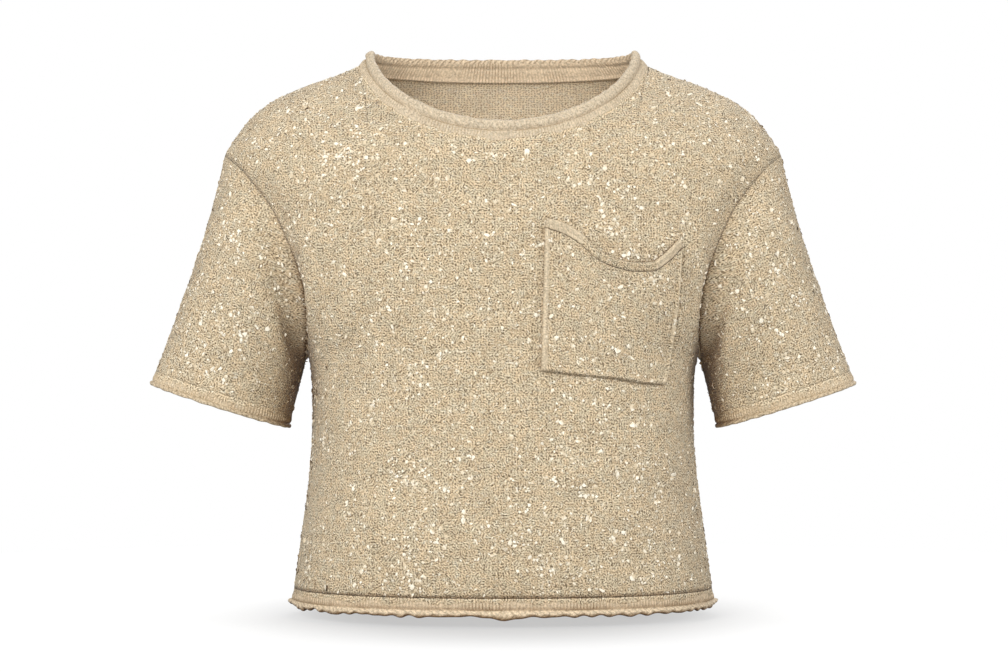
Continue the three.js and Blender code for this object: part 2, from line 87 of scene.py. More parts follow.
# Armhole seam from the shoulder point to the underarm, with the way the sleeve leaves it
ARMHOLE_COLUMNS = "x z out_x out_y out_z"
ARMHOLE_ROWS = [
    (232, -87, 0.2, 0, -0.98),
    (218, -98, 0.4, 0.1, -0.9),
    (207, -111, 0.58, 0.12, -0.8),
    (191, -136, 0.72, 0.15, -0.65),
    (178, -174, 0.76, 0.2, -0.6),
    (171, -207, 0.7, 0.35, -0.62),
    (165, -238, 0.48, 0.4, -0.78),
    (163, -250, 0.22, 0, -0.97),
]
CUFF = {"x": 232.7, "z": -283.6, "lean": 17.5, "half": 59.5, "depth": 50, "flare": 0.07}

# Panel layout, as counted in stitches marked off along the seams
NECK_COLUMNS = 8
SHOULDER_COLUMNS = 6
COLUMNS = NECK_COLUMNS + SHOULDER_COLUMNS
LOWER_ROWS = 7
ARMHOLE_STEPS = 12
ROWS_CLOSE_UP = 1.6

# Fineness of the cloth's meshes
PANEL_ACROSS = 9
PANEL_UP = 12
SLEEVE_AROUND = 9
SLEEVE_DOWN = 104
INSIDE_EVERY = 4

# Bands, in millimetres
NECK_BAND = {"ribs": 9.6, "roll": 8.6, "bulge": 2.9, "rib": 1.0}
HEM_BAND = {"ribs": 10.0, "roll": 5.0, "bulge": 2.0, "rib": 1.0}
CUFF_BAND = {"ribs": 9.1, "roll": 3.4, "bulge": 1.3, "rib": 0.9}
RIB_PITCH = 2.7
STATIONS_PER_RIB = 4
NECK_LEAN = {"side": 0.72, "side_rise": 0.69, "front": 0.3, "back": 0.2, "rise": 0.954}
TONGUE_WIDTH = 9
TONGUE_DROP = 3
ARM_FOLD = {1: 11.5, -1: 12.5}
ARM_FOLD_WIDTH = 17
ARM_FOLD_STEPS = (10.2, 3.6)
CORNER = {"width": 16, "rise": 3, "flare": 3.5}

# Pocket outline on the front, in millimetres
POCKET_LEFT = [(-266, 30.3), (-151, 33.5)]
POCKET_RIGHT = [(-277, 130.7), (-233, 138), (-205, 141.6), (-166, 144)]
POCKET_BOTTOM = [(30.3, -265), (60, -268.5), (89, -271.6), (115, -275.5), (130.7, -276.7)]
POCKET_MOUTH = [
    (33.5, -151),
    (45, -154.5),
    (60, -163),
    (75, -176),
    (90, -182.5),
    (105, -185.5),
    (120, -185),
    (132, -178),
    (144, -166),
]
POCKET_WALL = 2.0
POCKET_GROOVE = 1.0
POCKET_RIDGE = 2.0
POCKET_STRIP = 4.2
POCKET_STAND = 3.0
POCKET_BAND_HEIGHT = 8.5
POCKET_BAND_WALL = 3.4
SEAM_GAP = 0.3


def columns_of(names, rows):
    """A table's columns by name, as arrays."""
    return dict(zip(names.split(), np.array(rows, float).T))


def smooth_curve(keys, values):
    """A smooth curve through the values that never swings past them."""
    order = np.argsort(keys)
    x = np.asarray(keys, float)[order]
    y = np.asarray(values, float)[order]
    slope = np.diff(y) / np.diff(x)
    tangent = np.empty_like(y)
    tangent[0] = slope[0]
    tangent[-1] = slope[-1]
    before, after = slope[:-1], slope[1:]
    both = before + after
    safe = np.where(np.abs(both) < 1e-12, 1.0, both)
    tangent[1:-1] = np.where(before * after <= 0, 0.0, 2 * before * after / safe)

    def at(key):
        k = np.clip(key, x[0], x[-1])
        i = np.clip(np.searchsorted(x, k, side="right") - 1, 0, len(x) - 2)
        span = x[i + 1] - x[i]
        t = (k - x[i]) / span
        rise = y[i + 1] - y[i]
        bend = tangent[i] + tangent[i + 1] - 2 * rise / span
        sag = 3 * rise / span - 2 * tangent[i] - tangent[i + 1]
        return y[i] + span * t * (tangent[i] + t * (sag + t * bend))

    return at


def curve_of(pairs):
    """A smooth curve from a list of pairs."""
    keys, values = zip(*pairs)
    return smooth_curve(keys, values)


body = columns_of(BODY_COLUMNS, BODY_ROWS)
half_at = smooth_curve(body["z"], body["half"])
depth_at = {
    FRONT: smooth_curve(body["z"], body["front"]),
    BACK: smooth_curve(body["z"], body["back"]),
}


def body_point(x, z, side):
    """The body's outer face at places seen from the front, in millimetres."""
    across = np.minimum(1, np.abs(x) / half_at(z))
    depth = depth_at[side](z) * (1 - across**SECTION_POWER) ** (1 / SECTION_POWER)
    return np.stack([x, side * depth, z + 0 * x], -1)


def unit(v):
    """Vectors of length one."""
    return v / np.maximum(np.linalg.norm(v, axis=-1, keepdims=True), 1e-12)


def body_normal(point, side):
    """The way out of the cloth at points of the body's outer face."""
    x, y, z = point[..., 0], point[..., 1], point[..., 2]
    step = 0.5
    half, depth = half_at(z), depth_at[side](z)
    half_slope = (half_at(z + step) - half_at(z - step)) / (2 * step)
    depth_slope = (depth_at[side](z + step) - depth_at[side](z - step)) / (2 * step)
    across, along = np.abs(x) / half, np.abs(y) / depth
    out_x = np.sign(x) * across ** (SECTION_POWER - 1) / half
    out_y = side * along ** (SECTION_POWER - 1) / depth
    out_z = -(across**SECTION_POWER) * half_slope / half - along**SECTION_POWER * depth_slope / depth
    return unit(np.stack([out_x, out_y, out_z], -1))


def shoulder_z(x):
    """The height of the shoulder line at distances from the middle."""
    heights = np.linspace(ARMHOLE_ROWS[0][1], BODY_ROWS[0][0], 1500)
    widths = half_at(heights)
    return np.interp(x, widths[::-1], heights[::-1])


def neckline_place(turn, side):
    """Places of the neckline seam. turn is 0 at the shoulder line and 1 at the middle."""
    angle = turn * math.pi / 2
    drop, power = NECK_DROP[side]
    return NECK_HALF * np.cos(angle), NECK_SIDE_Z - drop * np.sin(angle) ** power


def armhole_curves():
    """The armhole seam's columns by an even step from the underarm up to the shoulder point."""
    table = columns_of(ARMHOLE_COLUMNS, ARMHOLE_ROWS)
    order = np.arange(len(ARMHOLE_ROWS))
    curves = {name: smooth_curve(order, values) for name, values in table.items()}
    rows = np.linspace(order[-1], 0, 1200)
    points = body_point(curves["x"](rows), curves["z"](rows), FRONT)
    run = np.concatenate([[0], np.cumsum(np.linalg.norm(np.diff(points, axis=0), axis=1))])

    def at(step):
        row = np.interp(step / ARMHOLE_STEPS * run[-1], run, rows)
        return {name: curve(row) for name, curve in curves.items()}

    return at


armhole_at = armhole_curves()


def panel_row(columns, row, side):
    """One row of places on a body panel. Columns count out from the middle, rows up from the hem."""
    u = np.abs(columns) / COLUMNS
    sweep = np.sin(u * math.pi / 2) ** (2 / SECTION_POWER)
    underarm = armhole_at(0.0)
    if row <= LOWER_ROWS:
        climb = 1 - (1 - row / LOWER_ROWS) ** ROWS_CLOSE_UP
        z = HEM_SEAM_Z + (underarm["z"] - HEM_SEAM_Z) * climb
        return body_point(np.sign(columns) * half_at(z) * sweep, z + 0 * u, side)
    step = row - LOWER_ROWS
    shoulder = armhole_at(float(ARMHOLE_STEPS))
    neck_x, neck_z = neckline_place(1 - np.minimum(np.abs(columns) / NECK_COLUMNS, 1), side)
    beyond = (np.abs(columns) - NECK_COLUMNS) / SHOULDER_COLUMNS
    shoulder_x = NECK_HALF + (shoulder["x"] - NECK_HALF) * beyond
    on_neck = np.abs(columns) <= NECK_COLUMNS
    top_x = np.where(on_neck, neck_x, shoulder_x)
    top_z = np.where(on_neck, neck_z, shoulder_z(shoulder_x))
    rise = 1 - (1 - step / ARMHOLE_STEPS) ** ROWS_CLOSE_UP
    seam = armhole_at(float(step))
    shift_x = seam["x"] - (underarm["x"] + (shoulder["x"] - underarm["x"]) * rise)
    shift_z = seam["z"] - (underarm["z"] + (shoulder["z"] - underarm["z"]) * rise)
    wide = half_at(underarm["z"]) * sweep
    x = wide + (top_x - wide) * rise + u * shift_x
    z = underarm["z"] + (top_z - underarm["z"]) * rise + u * shift_z
    return body_point(np.sign(columns) * x, z, side)


def distances(grid, axis):
    """How far each point of a grid lies along its row or column from the first."""
    steps = np.linalg.norm(np.diff(grid, axis=axis), axis=2)
    pad = [(0, 0), (0, 0)]
    pad[axis] = (1, 0)
    return np.cumsum(np.pad(steps, pad), axis=axis)


def grid_normals(grid, closed, outward):
    """Normals of a grid of points, turned to agree with the given ways out."""
    if closed:
        across = np.roll(grid, -1, axis=1) - np.roll(grid, 1, axis=1)
    else:
        across = np.gradient(grid, axis=1)
    up = np.gradient(grid, axis=0)
    normal = unit(np.cross(across, up))
    facing = np.sign((normal * outward).sum(-1, keepdims=True))
    return normal * np.where(facing == 0, 1, facing)


def seam_relief(distance):
    """The seam's soft groove, with a fine ridge beside it, at distances in millimetres."""
    dip = -SEAM_DIP * np.exp(-((distance / (SEAM_DIP_WIDTH / MM)) ** 2))
    ridge = SEAM_RIDGE * np.exp(-(((distance - 4.2) / (SEAM_RIDGE_WIDTH / MM)) ** 2))
    return (dip + ridge) / MM


def crease_relief(x, z, creases):
    """Soft troughs and ridges, given one by one. Each has a middle, an angle, a length, a width, a height."""
    relief = np.zeros_like(x)
    for middle_x, middle_z, angle, length, width, height in creases:
        cos, sin = math.cos(math.radians(angle)), math.sin(math.radians(angle))
        along = (x - middle_x) * cos + (z - middle_z) * sin
        off = -(x - middle_x) * sin + (z - middle_z) * cos + 0.0012 * along**2
        relief += height * np.exp(-((along / length) ** 2) - (off / width) ** 2)
    return relief


def new_mesh(name, points, faces, material, corners=None, inside=None):
    """A piece from points in metres and faces. corners gives each face corner's place on the cloth map."""
    mesh = bpy.data.meshes.new(name)
    mesh.from_pydata([tuple(p) for p in points], [], faces)
    mesh.update()
    piece = bpy.data.objects.new(name, mesh)
    bpy.context.scene.collection.objects.link(piece)
    for one in material if isinstance(material, (list, tuple)) else [material]:
        mesh.materials.append(one)
    if corners is not None:
        layer = mesh.uv_layers.new(name="Cloth")
        layer.data.foreach_set("uv", np.asarray(corners, np.float32).ravel())
    if inside is not None:
        mesh.polygons.foreach_set("material_index", np.asarray(inside, np.int32))
    mesh.polygons.foreach_set("use_smooth", np.ones(len(mesh.polygons), bool))
    mesh.update()
    return piece


def cloth_shell(name, outer, normals, wall, uv, material, closed):
    """A closed wall of cloth: a fine outer face, a coarser inner face, and rims that join them.

    On a closed tube the map has one column more than the points, which is its first column again."""
    rows, cols = outer.shape[:2]
    every = INSIDE_EVERY
    inner_rows = np.arange(0, rows, every)
    inner_cols = np.arange(0, cols, every)
    inner = outer[np.ix_(inner_rows, inner_cols)] - wall * normals[np.ix_(inner_rows, inner_cols)]
    points = np.concatenate([outer.reshape(-1, 3), inner.reshape(-1, 3)]) * MM
    start = rows * cols
    in_rows, in_cols = len(inner_rows), len(inner_cols)
    spans, in_spans = (cols, in_cols) if closed else (cols - 1, in_cols - 1)
    faces, places, inside, soft = [], [], [], []

    def add(corners, is_inside, is_soft=True):
        face, place = [], []
        for r, c, deep in corners:
            if deep:
                face.append(start + r * in_cols + c % in_cols)
                place.append((r * every, c * every))
            else:
                face.append(r * cols + c % cols)
                place.append((r, c))
        faces.append(face)
        places.extend(place)
        inside.append(is_inside)
        soft.append(is_soft)

    for r in range(rows - 1):
        for c in range(spans):
            add([(r, c, 0), (r, c + 1, 0), (r + 1, c + 1, 0), (r + 1, c, 0)], 0)
    for r in range(in_rows - 1):
        for c in range(in_spans):
            add([(r, c, 1), (r + 1, c, 1), (r + 1, c + 1, 1), (r, c + 1, 1)], 1)
    for c in range(in_spans):
        low = [(0, c * every + i, 0) for i in range(every, -1, -1)]
        add([*low, (0, c, 1), (0, c + 1, 1)], 0, False)
        high = [(rows - 1, c * every + i, 0) for i in range(every + 1)]
        add([*high, (in_rows - 1, c + 1, 1), (in_rows - 1, c, 1)], 0, False)
    if not closed:
        for r in range(in_rows - 1):
            first = [(r * every + i, 0, 0) for i in range(every + 1)]
            add([*first, (r + 1, 0, 1), (r, 0, 1)], 0, False)
            last = [(r * every + i, cols - 1, 0) for i in range(every, -1, -1)]
            add([*last, (r, in_cols - 1, 1), (r + 1, in_cols - 1, 1)], 0, False)
    at = np.array(places)
    piece = new_mesh(name, points, faces, material, uv[at[:, 0], at[:, 1]] * MM, inside)
    piece.data.polygons.foreach_set("use_smooth", np.array(soft))
    turn_outward(piece)
    return piece


def turn_outward(piece):
    """Turns a closed piece's faces outward."""
    bpy.ops.object.select_all(action="DESELECT")
    piece.select_set(True)
    bpy.context.view_layer.objects.active = piece
    bpy.ops.object.mode_set(mode="EDIT")
    bpy.ops.mesh.select_all(action="SELECT")
    bpy.ops.mesh.normals_make_consistent(inside=False)
    bpy.ops.object.mode_set(mode="OBJECT")
    piece.select_set(False)


# Soft creases: middle x and z, angle, length, width and height in millimetres and degrees
FRONT_CREASES = [
    (84, -345, 4, 46, 9, 1.0),
    (74, -362, 8, 52, 8, -0.9),
    (96, -384, 2, 40, 10, 0.8),
    (-98, -330, -14, 48, 10, 0.9),
    (-112, -352, -9, 40, 9, -0.8),
    (-60, -398, -4, 60, 12, 0.7),
    (18, -412, 3, 55, 11, -0.6),
    (148, -330, 84, 70, 7, -0.9),
    (-150, -318, 95, 60, 8, -0.8),
    (-142, -236, 52, 46, 9, 1.2),
    (-128, -246, 50, 42, 8, -1.1),
    (150, -242, 126, 40, 8, 1.0),
    (-150, -150, 62, 52, 10, 0.9),
    (158, -158, 116, 50, 10, 0.9),
    (-20, -150, 6, 60, 14, 0.6),
    (40, -116, 160, 50, 12, -0.5),
]
BACK_CREASES = [
    (-84, -330, 5, 60, 10, 1.1),
    (-70, -352, 7, 56, 9, -1.0),
    (90, -350, -8, 58, 11, 1.0),
    (102, -372, -5, 48, 9, -0.8),
    (0, -396, 2, 70, 13, 0.8),
    (150, -250, 54, 50, 9, 1.2),
    (-148, -246, 128, 50, 9, 1.1),
    (-134, -256, 126, 44, 8, -0.9),
    (0, -120, 90, 60, 16, -0.7),
    (70, -160, 70, 55, 12, 0.8),
    (-66, -170, 112, 55, 12, 0.7),
    (150, -340, 86, 70, 8, -0.8),
]
SLEEVE_CREASES = [
    (70, 110, 82, 46, 9, 0.9),
    (96, 70, 60, 40, 8, -0.8),
    (30, 120, 20, 40, 10, 0.7),
    (150, 90, 96, 46, 9, 0.8),
    (240, 100, 80, 50, 10, 0.9),
    (280, 60, 100, 40, 9, -0.8),
    (180, 150, 8, 34, 7, 0.8),
]


def uneven(u, v, pitch, seed):
    """Seeded unevenness from -1 to 1 that runs smoothly between knots a pitch apart."""
    rng = np.random.default_rng(seed)
    knots = rng.uniform(-1, 1, (257, 257))
    x, y = u / pitch + 1000, v / pitch + 1000
    i, j = np.floor(x).astype(int), np.floor(y).astype(int)
    s, t = x - i, y - j
    s, t = s * s * (3 - 2 * s), t * t * (3 - 2 * t)
    i, j = i % 256, j % 256
    low = knots[i, j] * (1 - s) + knots[i + 1, j] * s
    high = knots[i, j + 1] * (1 - s) + knots[i + 1, j + 1] * s
    return low * (1 - t) + high * t


def with_relief(grid, normals, relief, uv, seed, edge):
    """A cloth face with its relief and its uneven stitches raised along its normals."""
    stitches = uneven(uv[..., 0], uv[..., 1], STITCH, seed) * STITCH_RELIEF / MM
    calm = 1 - np.exp(-((edge / 2.5) ** 2))
    return grid + normals * (relief + stitches * calm)[..., None]


def section_lengths():
    """How far round a level section a place lies, by its share of the half width and the oval's shape."""
    shapes = np.linspace(0.1, 1.2, 40)
    share = np.sin(np.linspace(0, math.pi / 2, 400)) ** 0.9
    depth = (1 - share**SECTION_POWER) ** (1 / SECTION_POWER)
    steps = np.hypot(np.diff(share)[None], np.diff(depth)[None] * shapes[:, None])
    lengths = np.pad(np.cumsum(steps, axis=1), ((0, 0), (1, 0)))

    def at(across, shape):
        k = np.interp(across, share, np.arange(len(share)))
        j = np.interp(shape, shapes, np.arange(len(shapes)))
        k0, j0 = np.minimum(k.astype(int), len(share) - 2), np.minimum(j.astype(int), len(shapes) - 2)
        s, t = k - k0, j - j0
        low = lengths[j0, k0] * (1 - s) + lengths[j0, k0 + 1] * s
        high = lengths[j0 + 1, k0] * (1 - s) + lengths[j0 + 1, k0 + 1] * s
        return low * (1 - t) + high * t

    return at


section_length = section_lengths()


def arm_fold(distance, step, mirror):
    """The soft fold where a sleeve hangs from its armhole, deeper towards the underarm."""
    begins, full = ARM_FOLD_STEPS
    share = np.clip((begins - step) / (begins - full), 0, 1)
    share = share * share * (3 - 2 * share) * (1 - np.exp(-((step / 1.8) ** 2)))
    return -ARM_FOLD[mirror] * share * np.exp(-((distance / ARM_FOLD_WIDTH) ** 2))


def pocket_groove(x, z):
    """The narrow groove that the pocket's sewing pulls into the front, beside its three sewn edges."""
    columns = curve_of(POCKET_LEFT)(z), curve_of(POCKET_RIGHT)(z)
    floor_z = curve_of(POCKET_BOTTOM)(x)
    in_height = (z > floor_z - 2) & (z < POCKET_MOUTH[0][1])
    in_width = (x > columns[0] - 2) & (x < columns[1] + 2)
    beside = np.minimum(np.abs(x - columns[0] + 1), np.abs(x - columns[1] - 1))
    beside = np.where(in_height, beside, 99)
    under = np.where(in_width, np.abs(z - floor_z + 1), 99)
    return -POCKET_GROOVE * np.maximum(np.exp(-((beside / 2.2) ** 2)), 0.3 * np.exp(-((under / 2.2) ** 2)))


def body_map(grid, side):
    """Knitted places on a body panel: round the body along the courses, and up along the wales."""
    x, z = grid[..., 0], grid[..., 2]
    half, depth = half_at(z), depth_at[side](z)
    round_by = np.sign(x) * half * section_length(np.minimum(1, np.abs(x) / half), depth / half)
    heights = np.linspace(HEM_SEAM_Z, BODY_ROWS[0][0], 900)
    half_slope = np.gradient(half_at(heights), heights)
    depth_slope = np.gradient(depth_at[side](heights), heights)
    rate = np.sqrt(1 + (0.6 * depth_slope) ** 2 + (0.35 * half_slope) ** 2)
    climb = np.cumsum(rate) * (heights[1] - heights[0])
    return np.stack([round_by, np.interp(z, heights, climb)], -1)


def body_panel(name, side, creases, seed, material):
    """The front or back panel, from the hem seam to the neckline and shoulders."""
    columns = np.linspace(-COLUMNS, COLUMNS, 2 * COLUMNS * PANEL_ACROSS + 1)
    rows = np.linspace(0, LOWER_ROWS + ARMHOLE_STEPS, (LOWER_ROWS + ARMHOLE_STEPS) * PANEL_UP + 1)
    grid = np.stack([panel_row(columns, row, side) for row in rows])
    normals = body_normal(grid, side)
    normals[0, :, 2] = 0
    normals = unit(normals)
    across, up = distances(grid, 1), distances(grid, 0)
    to_sides = np.minimum(across, across[:, -1:] - across)
    to_ends = np.minimum(up, up[-1:] - up)
    edge = np.minimum(to_sides, to_ends)
    calm = 1 - np.exp(-((edge / 14) ** 2))
    relief = crease_relief(grid[..., 0], grid[..., 2], creases) * calm + seam_relief(edge)
    step = np.maximum(rows - LOWER_ROWS, 0)[:, None]
    low = np.exp(-(((LOWER_ROWS - rows[:, None]).clip(0) / 0.7) ** 2))
    if side == FRONT:
        relief += pocket_groove(grid[..., 0], grid[..., 2])
    relief += low * arm_fold(across, step, -1) + low * arm_fold(across[:, -1:] - across, step, 1)
    uv = body_map(grid, side)
    outer = with_relief(grid, normals, relief, uv, seed, edge)
    piece = cloth_shell(name, outer, normals, WALL / MM, uv, material, False)
    return piece, outer, normals, uv, edge


def cuff_ring(turn):
    """Points and ways out of the cuff seam. turn is 0 at the outer end and grows forwards."""
    lean = math.radians(CUFF["lean"])
    across = np.array([math.cos(lean), 0, math.sin(lean)])
    depth = np.array([0, -1.0, 0])
    angle = np.asarray(turn)[..., None] * 2 * math.pi
    centre = np.array([CUFF["x"], 0, CUFF["z"]])
    point = centre + across * CUFF["half"] * np.cos(angle) + depth * CUFF["depth"] * np.sin(angle)
    normal = across * np.cos(angle) / CUFF["half"] + depth * np.sin(angle) / CUFF["depth"]
    return point, unit(normal)


def cuff_down():
    """The way down the sleeve, square to the cuff seam."""
    lean = math.radians(CUFF["lean"])
    return np.array([math.sin(lean), 0, -math.cos(lean)])


def sleeve_surface(around, down):
    """The sleeve's outer face from the armhole seam to the cuff seam."""
    turn = np.arange(around) / around
    step = np.abs(ARMHOLE_STEPS - turn * 2 * ARMHOLE_STEPS)
    seam = armhole_at(step)
    front = body_point(seam["x"], seam["z"], FRONT)
    side = np.where(turn <= 0.5, FRONT, BACK)
    start = np.where(side[:, None] == FRONT, front, body_point(seam["x"], seam["z"], BACK))
    end, out = cuff_ring(turn)
    reach = np.linalg.norm(end - start, axis=1, keepdims=True)
    leave = unit(np.stack([seam["out_x"], side * seam["out_y"], seam["out_z"]], -1)) * reach
    arrive = unit(cuff_down() + out * CUFF["flare"]) * reach
    t = np.linspace(0, 1, down + 1)[:, None, None]
    return (
        start * ((2 * t - 3) * t * t + 1)
        + leave * ((t - 2) * t + 1) * t
        + end * (3 - 2 * t) * t * t
        + arrive * (t - 1) * t * t
    )


def sleeve(name, mirror, seed, material):
    """One sleeve. mirror is 1 on the wearer's left and -1 on the right."""
    around = 2 * ARMHOLE_STEPS * SLEEVE_AROUND
    grid = sleeve_surface(around, SLEEVE_DOWN)
    centre = grid.mean(axis=1, keepdims=True)
    normals = grid_normals(grid, True, grid - centre)
    normals[-1] = cuff_ring(np.arange(around) / around)[1]
    down = distances(grid, 0)
    turn = np.arange(around) / around
    on_front = (turn <= 0.5)[:, None]
    start = grid[0]
    seam_out = np.where(on_front, body_normal(start, FRONT), body_normal(start, BACK))
    near = np.exp(-((down / 12) ** 2))[..., None]
    normals = unit(normals * (1 - near) + seam_out * near)
    steps = np.roll(grid, -1, axis=1) - grid
    steps = steps - (steps @ cuff_down())[..., None] * cuff_down()
    ring = np.linalg.norm(steps, axis=2)
    round_at = np.cumsum(ring, axis=1) - ring
    edge = np.minimum(down, down[-1:] - down)
    to_underarm = np.abs(round_at - round_at[:, around // 2][:, None])
    calm = 1 - np.exp(-((edge / 14) ** 2))
    turned = creases_turned(round_at, mirror)
    relief = crease_relief(turned, down, SLEEVE_CREASES) * calm
    relief += seam_relief(edge) + 0.8 * seam_relief(to_underarm)
    relief += arm_fold(down, np.abs(ARMHOLE_STEPS - turn * 2 * ARMHOLE_STEPS), mirror)
    level = distances(grid + normals * relief[..., None], 0)
    level = level - level[-1:]
    uv = np.stack([round_at, level], -1)
    outer = with_relief(grid, normals, relief, uv, seed, edge)
    last = np.stack([round_at[:, -1] + ring[:, -1], level[:, 0]], -1)
    uv = np.concatenate([uv, last[:, None]], axis=1)
    outer[..., 0] *= mirror
    normals = normals * np.array([mirror, 1, 1])
    piece = cloth_shell(name, outer, normals, WALL / MM, uv, material, True)
    return piece, outer, normals, uv, edge


def creases_turned(round_at, mirror):
    """Distances round a sleeve, shifted on one side so that the two sleeves' creases differ."""
    whole = round_at[:, -1:] + 2
    return np.mod(round_at + (0 if mirror > 0 else 37), whole)


def even_places(point_at, pitch):
    """Turns that lie an even distance apart round a closed seam, a whole number of them."""
    turn = np.linspace(0, 1, 4001)
    points = point_at(turn)
    run = np.concatenate([[0], np.cumsum(np.linalg.norm(np.diff(points, axis=0), axis=1))])
    count = int(round(run[-1] / pitch))
    stations = count * STATIONS_PER_RIB
    return np.interp(np.arange(stations) / stations * run[-1], run, turn), count, run[-1]


def band_outline(band, rib, drop, flare, twist):
    """A band's closed outline at each station: pairs of how far along and how far out."""
    ribs, roll, bulge = band["ribs"], band["roll"], band["bulge"]
    wall = WALL / MM
    high = rib * band["rib"]
    pairs = [
        (-0.5 + 0 * rib, -0.3 + 0 * rib),
        (0.2 + 0 * rib, -0.02 + 0 * rib),
        (1.8 + 0 * rib, 0.08 + 0.2 * high),
        (ribs * 0.4 + 0 * rib, 0.65 * high),
        (ribs * 0.62 + 0 * rib, high + flare * 0.2),
        (ribs * 0.82 + 0 * rib, 0.75 * high + flare * 0.4),
        (ribs * 0.95 + 0 * rib, 0.2 * high - 0.35 + flare * 0.6),
    ]
    middle_s = ribs + roll / 2
    low = -wall - bulge * 0.35
    reach = (bulge - low) / 2
    middle_h = (bulge + low) / 2
    for degrees in (165, 140, 115, 90, 65, 40, 15, -10, -35, -60, -90, -120, -150):
        angle = math.radians(degrees)
        size = 1 + twist * np.sin(angle * 1.7 + 0.6)
        lengthen = drop * (0.5 + 0.5 * math.cos(angle))
        pairs.append(
            (
                middle_s + roll / 2 * math.cos(angle) + lengthen + 0 * rib,
                middle_h + reach * math.sin(angle) * size + flare,
            )
        )
    pairs += [
        (ribs - 0.5 + 0 * rib, -wall + flare * 0.4),
        (ribs * 0.75 + 0 * rib, -wall + flare * 0.3 - 0.6 * high),
        (ribs * 0.3 + 0 * rib, -wall + flare * 0.1 - 0.6 * high),
        (0.9 + 0 * rib, -wall - 0.2 + 0 * rib),
        (0.3 + 0 * rib, -wall - 1.2 + 0 * rib),
        (-0.7 + 0 * rib, -wall - 1.6 + 0 * rib),
        (-1.7 + 0 * rib, -wall - 1.2 + 0 * rib),
        (-2.2 + 0 * rib, -wall + 0.3 + 0 * rib),
        (-1.2 + 0 * rib, -wall + 0.8 + 0 * rib),
    ]
    return np.stack([np.stack(pair, -1) for pair in pairs], 1)


def rib_wave(count, seed):
    """Rib heights at the stations of a band, slightly uneven, from 0 between ribs to 1 on a rib."""
    rng = np.random.default_rng(seed)
    stations = np.arange(count * STATIONS_PER_RIB)
    wave = 0.5 - 0.5 * np.cos(2 * math.pi * stations / STATIONS_PER_RIB)
    size = rng.uniform(0.65, 1.15, count)
    return wave * np.repeat(size, STATIONS_PER_RIB)


def swept_band(name, feet, along, out, outline, material, closed=True, inside=None):
    """A band swept along its seam from an outline at each station. Its map counts in ribs."""
    stations, sides = outline.shape[:2]
    points = feet[:, None] + along[:, None] * outline[..., :1] + out[:, None] * outline[..., 1:]
    around = np.cumsum(np.linalg.norm(np.diff(outline[0], axis=0, prepend=outline[:1, 0]), axis=1))
    around = np.append(around, around[-1] + 2.0)
    faces, places, parts = [], [], []
    for i in range(stations if closed else stations - 1):
        here, after = i * sides, ((i + 1) % stations) * sides
        for m in range(sides):
            n = (m + 1) % sides
            faces.append((here + m, after + m, after + n, here + n))
            places += [(i, m), (i + 1, m), (i + 1, m + 1), (i, m + 1)]
            parts.append(0 if inside is None else inside[i])
    if not closed:
        faces.append(tuple(range(sides)))
        faces.append(tuple(range((stations - 1) * sides + sides - 1, (stations - 1) * sides - 1, -1)))
        places += [(0, m) for m in range(sides)]
        places += [(stations - 1, m) for m in range(sides - 1, -1, -1)]
        parts += [0, 0]
    at = np.array(places)
    corners = np.stack([at[:, 0] * RIB_PITCH / STATIONS_PER_RIB, around[at[:, 1]]], -1) * MM
    piece = new_mesh(name, points.reshape(-1, 3) * MM, faces, material, corners, parts)
    turn_outward(piece)
    return piece


def ring_out(feet, along, centre):
    """The ways out of a ring, square to its run and to the way along the band."""
    run = np.roll(feet, -STATIONS_PER_RIB, axis=0) - np.roll(feet, STATIONS_PER_RIB, axis=0)
    out = unit(np.cross(run, along))
    facing = np.sign(((feet - centre) * out).sum(-1, keepdims=True))
    return out * facing


def wander(turn, seed, waves, reach):
    """A slow irregular wave round a closed band, made of a few whole-numbered waves."""
    rng = np.random.default_rng(seed)
    total = np.zeros_like(turn)
    for _ in range(waves):
        count = rng.integers(reach[0], reach[1])
        total += rng.uniform(0.5, 1) * np.sin(2 * math.pi * (count * turn + rng.uniform()))
    return total / waves


def neck_seam(turn):
    """The neckline seam all round. turn is 0 at the wearer's left shoulder and runs over the front."""
    quarter = np.floor(turn * 4).astype(int) % 4
    part = turn * 4 - np.floor(turn * 4)
    part = np.where(quarter % 2 == 0, part, 1 - part)
    sign = np.where((quarter == 0) | (quarter == 3), 1, -1)
    front_x, front_z = neckline_place(part, FRONT)
    back_x, back_z = neckline_place(part, BACK)
    front = body_point(sign * front_x, front_z, FRONT)
    back = body_point(sign * back_x, back_z, BACK)
    return np.where((quarter < 2)[:, None], front, back)


def neck_band(name, material):
    """The ribbed neckband with its smooth rolled edge."""
    turn, count, _ = even_places(neck_seam, RIB_PITCH)
    feet = neck_seam(turn)
    sideways = np.minimum(1, np.abs(feet[:, 0]) / NECK_HALF)
    middle = np.sqrt(1 - sideways**2)
    inward = np.where(feet[:, 1] < 0, NECK_LEAN["front"], -NECK_LEAN["back"])
    along = unit(
        np.stack(
            [
                -np.sign(feet[:, 0]) * NECK_LEAN["side"] * sideways,
                inward * middle,
                NECK_LEAN["side_rise"] + (NECK_LEAN["rise"] - NECK_LEAN["side_rise"]) * middle,
            ],
            -1,
        )
    )
    centre = np.array([0, 18.0, -40])
    out = ring_out(feet, along, centre)
    at_back = 1 / (1 + np.exp(-feet[:, 1] / 12))
    twist = 0.05 * np.sin(2 * math.pi * 46 * turn) * (1 - at_back)
    twist += 0.16 * np.sin(2 * math.pi * 128 * turn) * at_back
    twist += 0.3 * wander(turn, 5, 7, (30, 110))
    drop = 1.0 * wander(turn, 6, 6, (18, 90))
    outline = band_outline(NECK_BAND, rib_wave(count, 11), drop, 0 * turn, twist)
    return swept_band(name, feet, along, out, outline, material, True, (turn > 0.5).astype(int))


